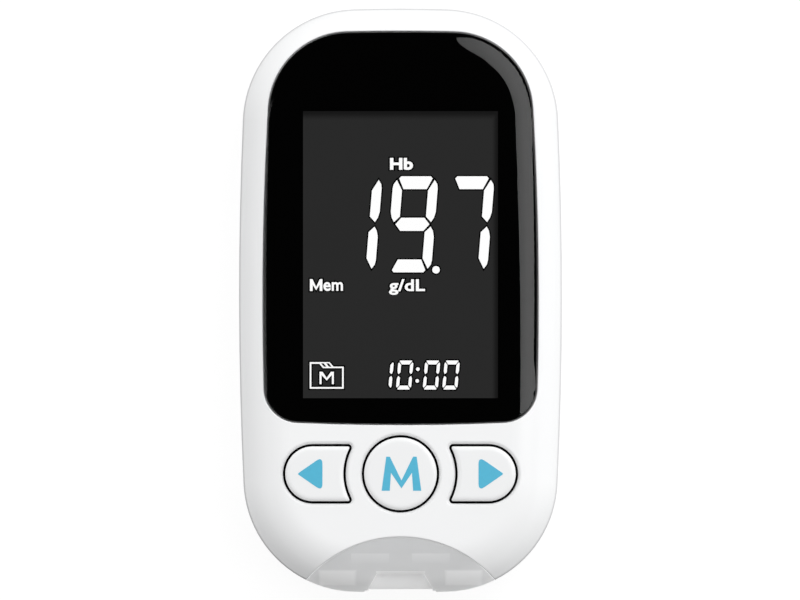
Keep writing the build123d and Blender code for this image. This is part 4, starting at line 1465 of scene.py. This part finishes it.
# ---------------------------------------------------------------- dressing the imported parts
@dataclass
class Dressing:
    """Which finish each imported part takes, by its material slot, with a few parts that differ."""

    frame: dict[str, Any]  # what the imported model's loader gave
    shell: Finish = CasePlastic("case_white_gloss", (0.86, 0.865, 0.87), 0.2, shine=0.2, edge=0.45)
    back: Finish = MouldedPlastic("case_white_textured", (0.85, 0.855, 0.86), 0.42, 0.35, 0.012)
    foam: Finish = Rubber("pad_foam", (0.09, 0.09, 0.09), 0.35, 0.05, 0.85)
    silicone: Finish = Rubber("mat_silicone", (0.55, 0.57, 0.59), 0.5, 0.002, 0.45, 0.3)
    window_top_margin: float = 13.3  # from the black print's top edge to the window's
    window_side_margin: float = 6.51

    def by_slot(self) -> dict[str, Finish]:
        """Gives each material slot its finish.

        Returns:
            The finishes, by slot.
        """
        corner = box_of("lens_mask")[1]
        face = DisplayFace(
            "display_face",
            (0.0232, 0.0232, 0.0232),
            top=corner.y - self.window_top_margin,
            right=corner.x - self.window_side_margin,
        )
        board = BoardLaminate(
            "board_green",
            mask=(0.012, 0.13, 0.055),
            copper=(0.02, 0.21, 0.08),
            gold=(0.85, 0.63, 0.25),
            laminate=(0.55, 0.48, 0.27),
            pad_xs=tuple(key.middle[0] for key in Key),
            pad_y=middle_of(Key.MEMORY.button)[1],
        )
        own_name = (
            LensPlastic("lens_acrylic", WHITE, 1.49, 0.01),
            InkFilm("mask_black", (0.0015, 0.0015, 0.0018), 0.6, 0.0),
            Rubber("tape_dark", (0.05, 0.05, 0.055), 0.2, 0.01, 0.7),
            Rubber("gasket_foam", (0.03, 0.03, 0.03), 0.25, 0.03, 0.9),
            ClearPlastic("display_glass", (0.86, 0.93, 0.9), 1.52),
            ClearPlastic("guide_clear", (0.96, 0.98, 1.0), 1.49, 0.05),
            InkFilm("reflector_white", (0.88, 0.88, 0.88), 0.4, 0.4),
            MouldedPlastic("frame_white", (0.72, 0.73, 0.72), 0.45, 0.5, 0.006),
            MouldedPackage("led_white", (0.85, 0.84, 0.78), (0.9, 0.72, 0.2)),
            LayeredRubber("connector_rubber", (0.24, 0.34, 0.5), (0.03, 0.03, 0.035)),
            Rubber("pill_carbon", (0.02, 0.02, 0.02), 0.12, 0.004, 0.75),
            MouldedPlastic("connector_black", (0.02, 0.02, 0.022), 0.5, 0.3, 0.01),
            PlatedMetal("contact_gold", (0.88, 0.66, 0.28), 0.2, (0.8, 8.0, 8.0)),
            MouldedPackage("chip_black", (0.022, 0.022, 0.024)),
            PlatedMetal("lead_tin", (0.72, 0.73, 0.74), 0.35),
            PlatedMetal("crystal_can", (0.76, 0.77, 0.78), 0.22, (1.0, 5.0, 5.0)),
            MouldedPackage("capacitor_tan", (0.47, 0.33, 0.2), (0.7, 0.71, 0.72)),
            PlatedMetal("spring_nickel", (0.76, 0.74, 0.7), 0.24, (7.0, 1.0, 0.7)),
            PlatedMetal("screw_steel", (0.6, 0.61, 0.62), 0.34, (2.0, 2.0, 2.0)),
            self.silicone,
            self.foam,
            board,
        )
        return {finish.name: finish for finish in own_name} | {
            "case_white": self.shell,
            "key_white": KeyPlastic("key_white_gloss", (0.835, 0.84, 0.845), 0.2, shine=0.2, edge=0.9),
            "polariser_dark": face,
            "port_translucent": PortPlastic("port_smoky", (0.58, 0.585, 0.59), (0.9, 0.905, 0.91)),
        }

    def cell(self, node: str, up: int) -> CellSleeve:
        """The finish of one cell, whose raised end points up the case (1) or down it (-1)."""
        low, high = box_of(node)
        return CellSleeve(node, (low.x + high.x) / 2, (low.z + high.z) / 2, high.y if up > 0 else low.y, up)

    def dress(self) -> None:
        """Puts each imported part's finish on it."""
        by_slot = self.by_slot()
        by_node = {"rear_cover": self.back, "battery_door": self.back}
        by_node |= {node: self.cell(node, up) for node, up in (("battery_left", 1), ("battery_right", -1))}
        for entry in self.frame["record"]["subparts"]:
            name = entry["node"]
            finish = by_node[name] if name in by_node else by_slot[entry["material_slot"]]
            for slot in self.frame["nodes"][name].material_slots:
                slot.material = material_of(finish)
            LOG.info("%s dressed as %s", name, finish.name)


# ---------------------------------------------------------------- studio
@dataclass
class LightTent:
    """A white tent round the meter, brighter from its top end and right, with a dark panel overhead in gloss."""

    low: float = 0.46  # the light from below the floor's edge
    wall: float = 0.78  # what the tent's wall adds
    overhead: float = 0.36  # what the roof takes away
    underneath: float = 0.48  # what comes back from straight below
    sides: float = 0.22  # what both sides add
    right: float = 0.27  # what the right has more, and the left less
    top_left: float = 0.42  # what the top left adds
    near: float = 0.75  # what the end with the strip port lacks
    far: float = 0.12  # and what the top end lacks
    panel: float = 0.02  # how bright the dark panel is in gloss
    brightest: float = 1.6  # the most that the tent can be

    def build(self) -> None:
        """Makes the world: white to the eye, the dark panel in gloss, and the tent's soft light for the rest."""
        world = bpy.data.worlds.new("light_tent")
        bpy.context.scene.world = world
        world.use_nodes = True
        world.cycles.sampling_method = "NONE"
        graph = Graph(world.node_tree)
        rays = graph.node("ShaderNodeLightPath").outputs
        seen, glossy, through = (Socket(graph, rays[f"Is {kind} Ray"]) for kind in ("Camera", "Glossy", "Transmission"))
        across, along, height = graph.split(graph.value("ShaderNodeTexCoord", output="Generated"))
        glint = height.fall(0.62, 0.66) & across.fall(-0.5, -0.4) & along.fall(0.1, 0.25)
        in_gloss = self.panel | height.fall(0.3, 0.4) | glint
        gloss = glossy | through
        level = seen + (1 - seen) * (gloss * in_gloss + (1 - gloss) * self.soft(across, along, height))
        colour = graph.blend(level * (1 / self.brightest), BLACK, WHITE)
        background = graph.value("ShaderNodeBackground", {"Color": colour, "Strength": self.brightest})
        graph.node("ShaderNodeOutputWorld", None, {0: background})

    def soft(self, across: Socket, along: Socket, height: Socket) -> Socket:
        """Works out the tent's soft light.

        Args:
            across: How far a direction points to the right.
            along: How far it points to the meter's top end.
            height: How far it points up.

        Returns:
            How bright the tent is in that direction.
        """
        upright = self.low + self.wall * height.rise(-0.2, 0.12) - self.overhead * height.rise(0.3, 1.0)
        upright = upright + self.underneath * height.fall(-0.95, -0.6)
        sides = self.sides * abs(across).rise(0.3, 0.9) + self.right * across
        top_left = self.top_left * (along.rise(0.05, 0.6) & across.fall(-0.55, -0.05))
        ends = self.near * along.fall(-0.9, 0.1) + self.far * along.rise(0.1, 0.9)
        return upright + sides + top_left - ends


@dataclass
class Studio:
    """A pale floor, a soft tent of light, a soft box that the lens mirrors, a soft key lamp and the camera."""

    camera_height: float = 4.5  # over the floor, in metres
    focus_z: float = 15.0  # the height at which the picture's scale holds
    picture_width: float = 134.5  # how much of that level the picture shows across
    centre: Point = (-0.084, 0.084)  # the point of the meter under the picture's middle
    sensor: float = 36.0
    view_depth: float = 50.0  # in metres
    floor_radius: float = 1.6  # in metres
    floor_drop: float = 0.02  # how far the floor lies under the meter's back
    box_height: float = 321.0
    box_corner: float = 25.0
    box_inner: tuple[Point, ...] = ((125, -34), (94, 2), (74, 22), (86, 48), (103, 90), (80, 123), (54, 180))
    box_outer: tuple[Point, ...] = ((51, 275), (58, 390), (155, 500), (285, 510), (370, 445), (425, 335))
    box_right: tuple[Point, ...] = ((428, 225), (398, 108), (368, 30), (364, -34))
    lamp_at: Triple = (0.45, 0.75, 0.9)  # in metres
    lamp_size: float = 0.7
    lamp_energy: float = 3.2

    def build(self) -> None:
        """Builds all of it."""
        self.add_camera()
        self.add_floor()
        LightTent().build()
        self.add_soft_box()
        self.add_key_lamp()
        bpy.context.scene.view_settings.view_transform = "Standard"

    def add_camera(self) -> None:
        """A long lens looking straight down on the display."""
        lens = bpy.data.cameras.new("overhead")
        lens.sensor_width = self.sensor
        lens.lens = self.sensor * (self.camera_height - self.focus_z * MM) / (self.picture_width * MM)
        lens.clip_end = self.view_depth
        camera = linked("overhead", lens)
        camera.location = (self.centre[0] * MM, self.centre[1] * MM, self.camera_height)
        bpy.context.scene.camera = camera

    def add_floor(self) -> None:
        """A plain white floor, which lights nothing by itself."""
        work = bmesh.new()
        bmesh.ops.create_circle(work, cap_ends=True, segments=96, radius=self.floor_radius)
        floor = linked("floor", mesh_from(work, "floor"))
        floor.location.z = -self.floor_drop * MM
        floor.visible_diffuse = False
        floor.data.materials.append(material_of(FloorPaint("floor_white")))

    def add_soft_box(self) -> None:
        """A panel over the right shoulder, seen only as a grey band in the lens."""
        points = [*self.box_inner, *self.box_outer, *self.box_right]
        outline = rounded(points, [self.box_corner] * len(points))
        panel = FlatPart("soft_box", [outline], self.box_height, 0.1).build()
        panel.visible_camera = panel.visible_diffuse = panel.visible_transmission = panel.visible_shadow = False
        panel.data.materials.append(material_of(BoxFabric("soft_box_white")))

    def add_key_lamp(self) -> None:
        """A large soft lamp from beyond the top end, on the right."""
        light = bpy.data.lights.new("key_lamp", "AREA")
        light.shape = "DISK"
        light.size = self.lamp_size
        light.energy = self.lamp_energy
        lamp = linked("key_lamp", light)
        lamp.location = self.lamp_at
        lamp.rotation_euler = (-lamp.location).to_track_quat("-Z", "Y").to_euler()
        lamp.visible_glossy = False


def main() -> None:
    """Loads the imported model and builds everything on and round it."""
    logging.basicConfig(level=logging.INFO, format="%(message)s")
    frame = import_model()
    dressing = Dressing(frame)
    dressing.dress()
    steps: list[tuple[str, Callable[[], None]]] = [
        ("display", Display(box_of("lcd_front_polariser")[1].z).build),
        ("key symbols", KeySymbols().build),
        ("keypad", Keypad(dressing.silicone).build),
        ("door", DoorDetails(dressing.foam, dressing.back).build),
        ("studio", Studio().build),
    ]
    for name, build in steps:
        build()
        LOG.info("%s done", name)


if __name__ == "__main__":
    main()
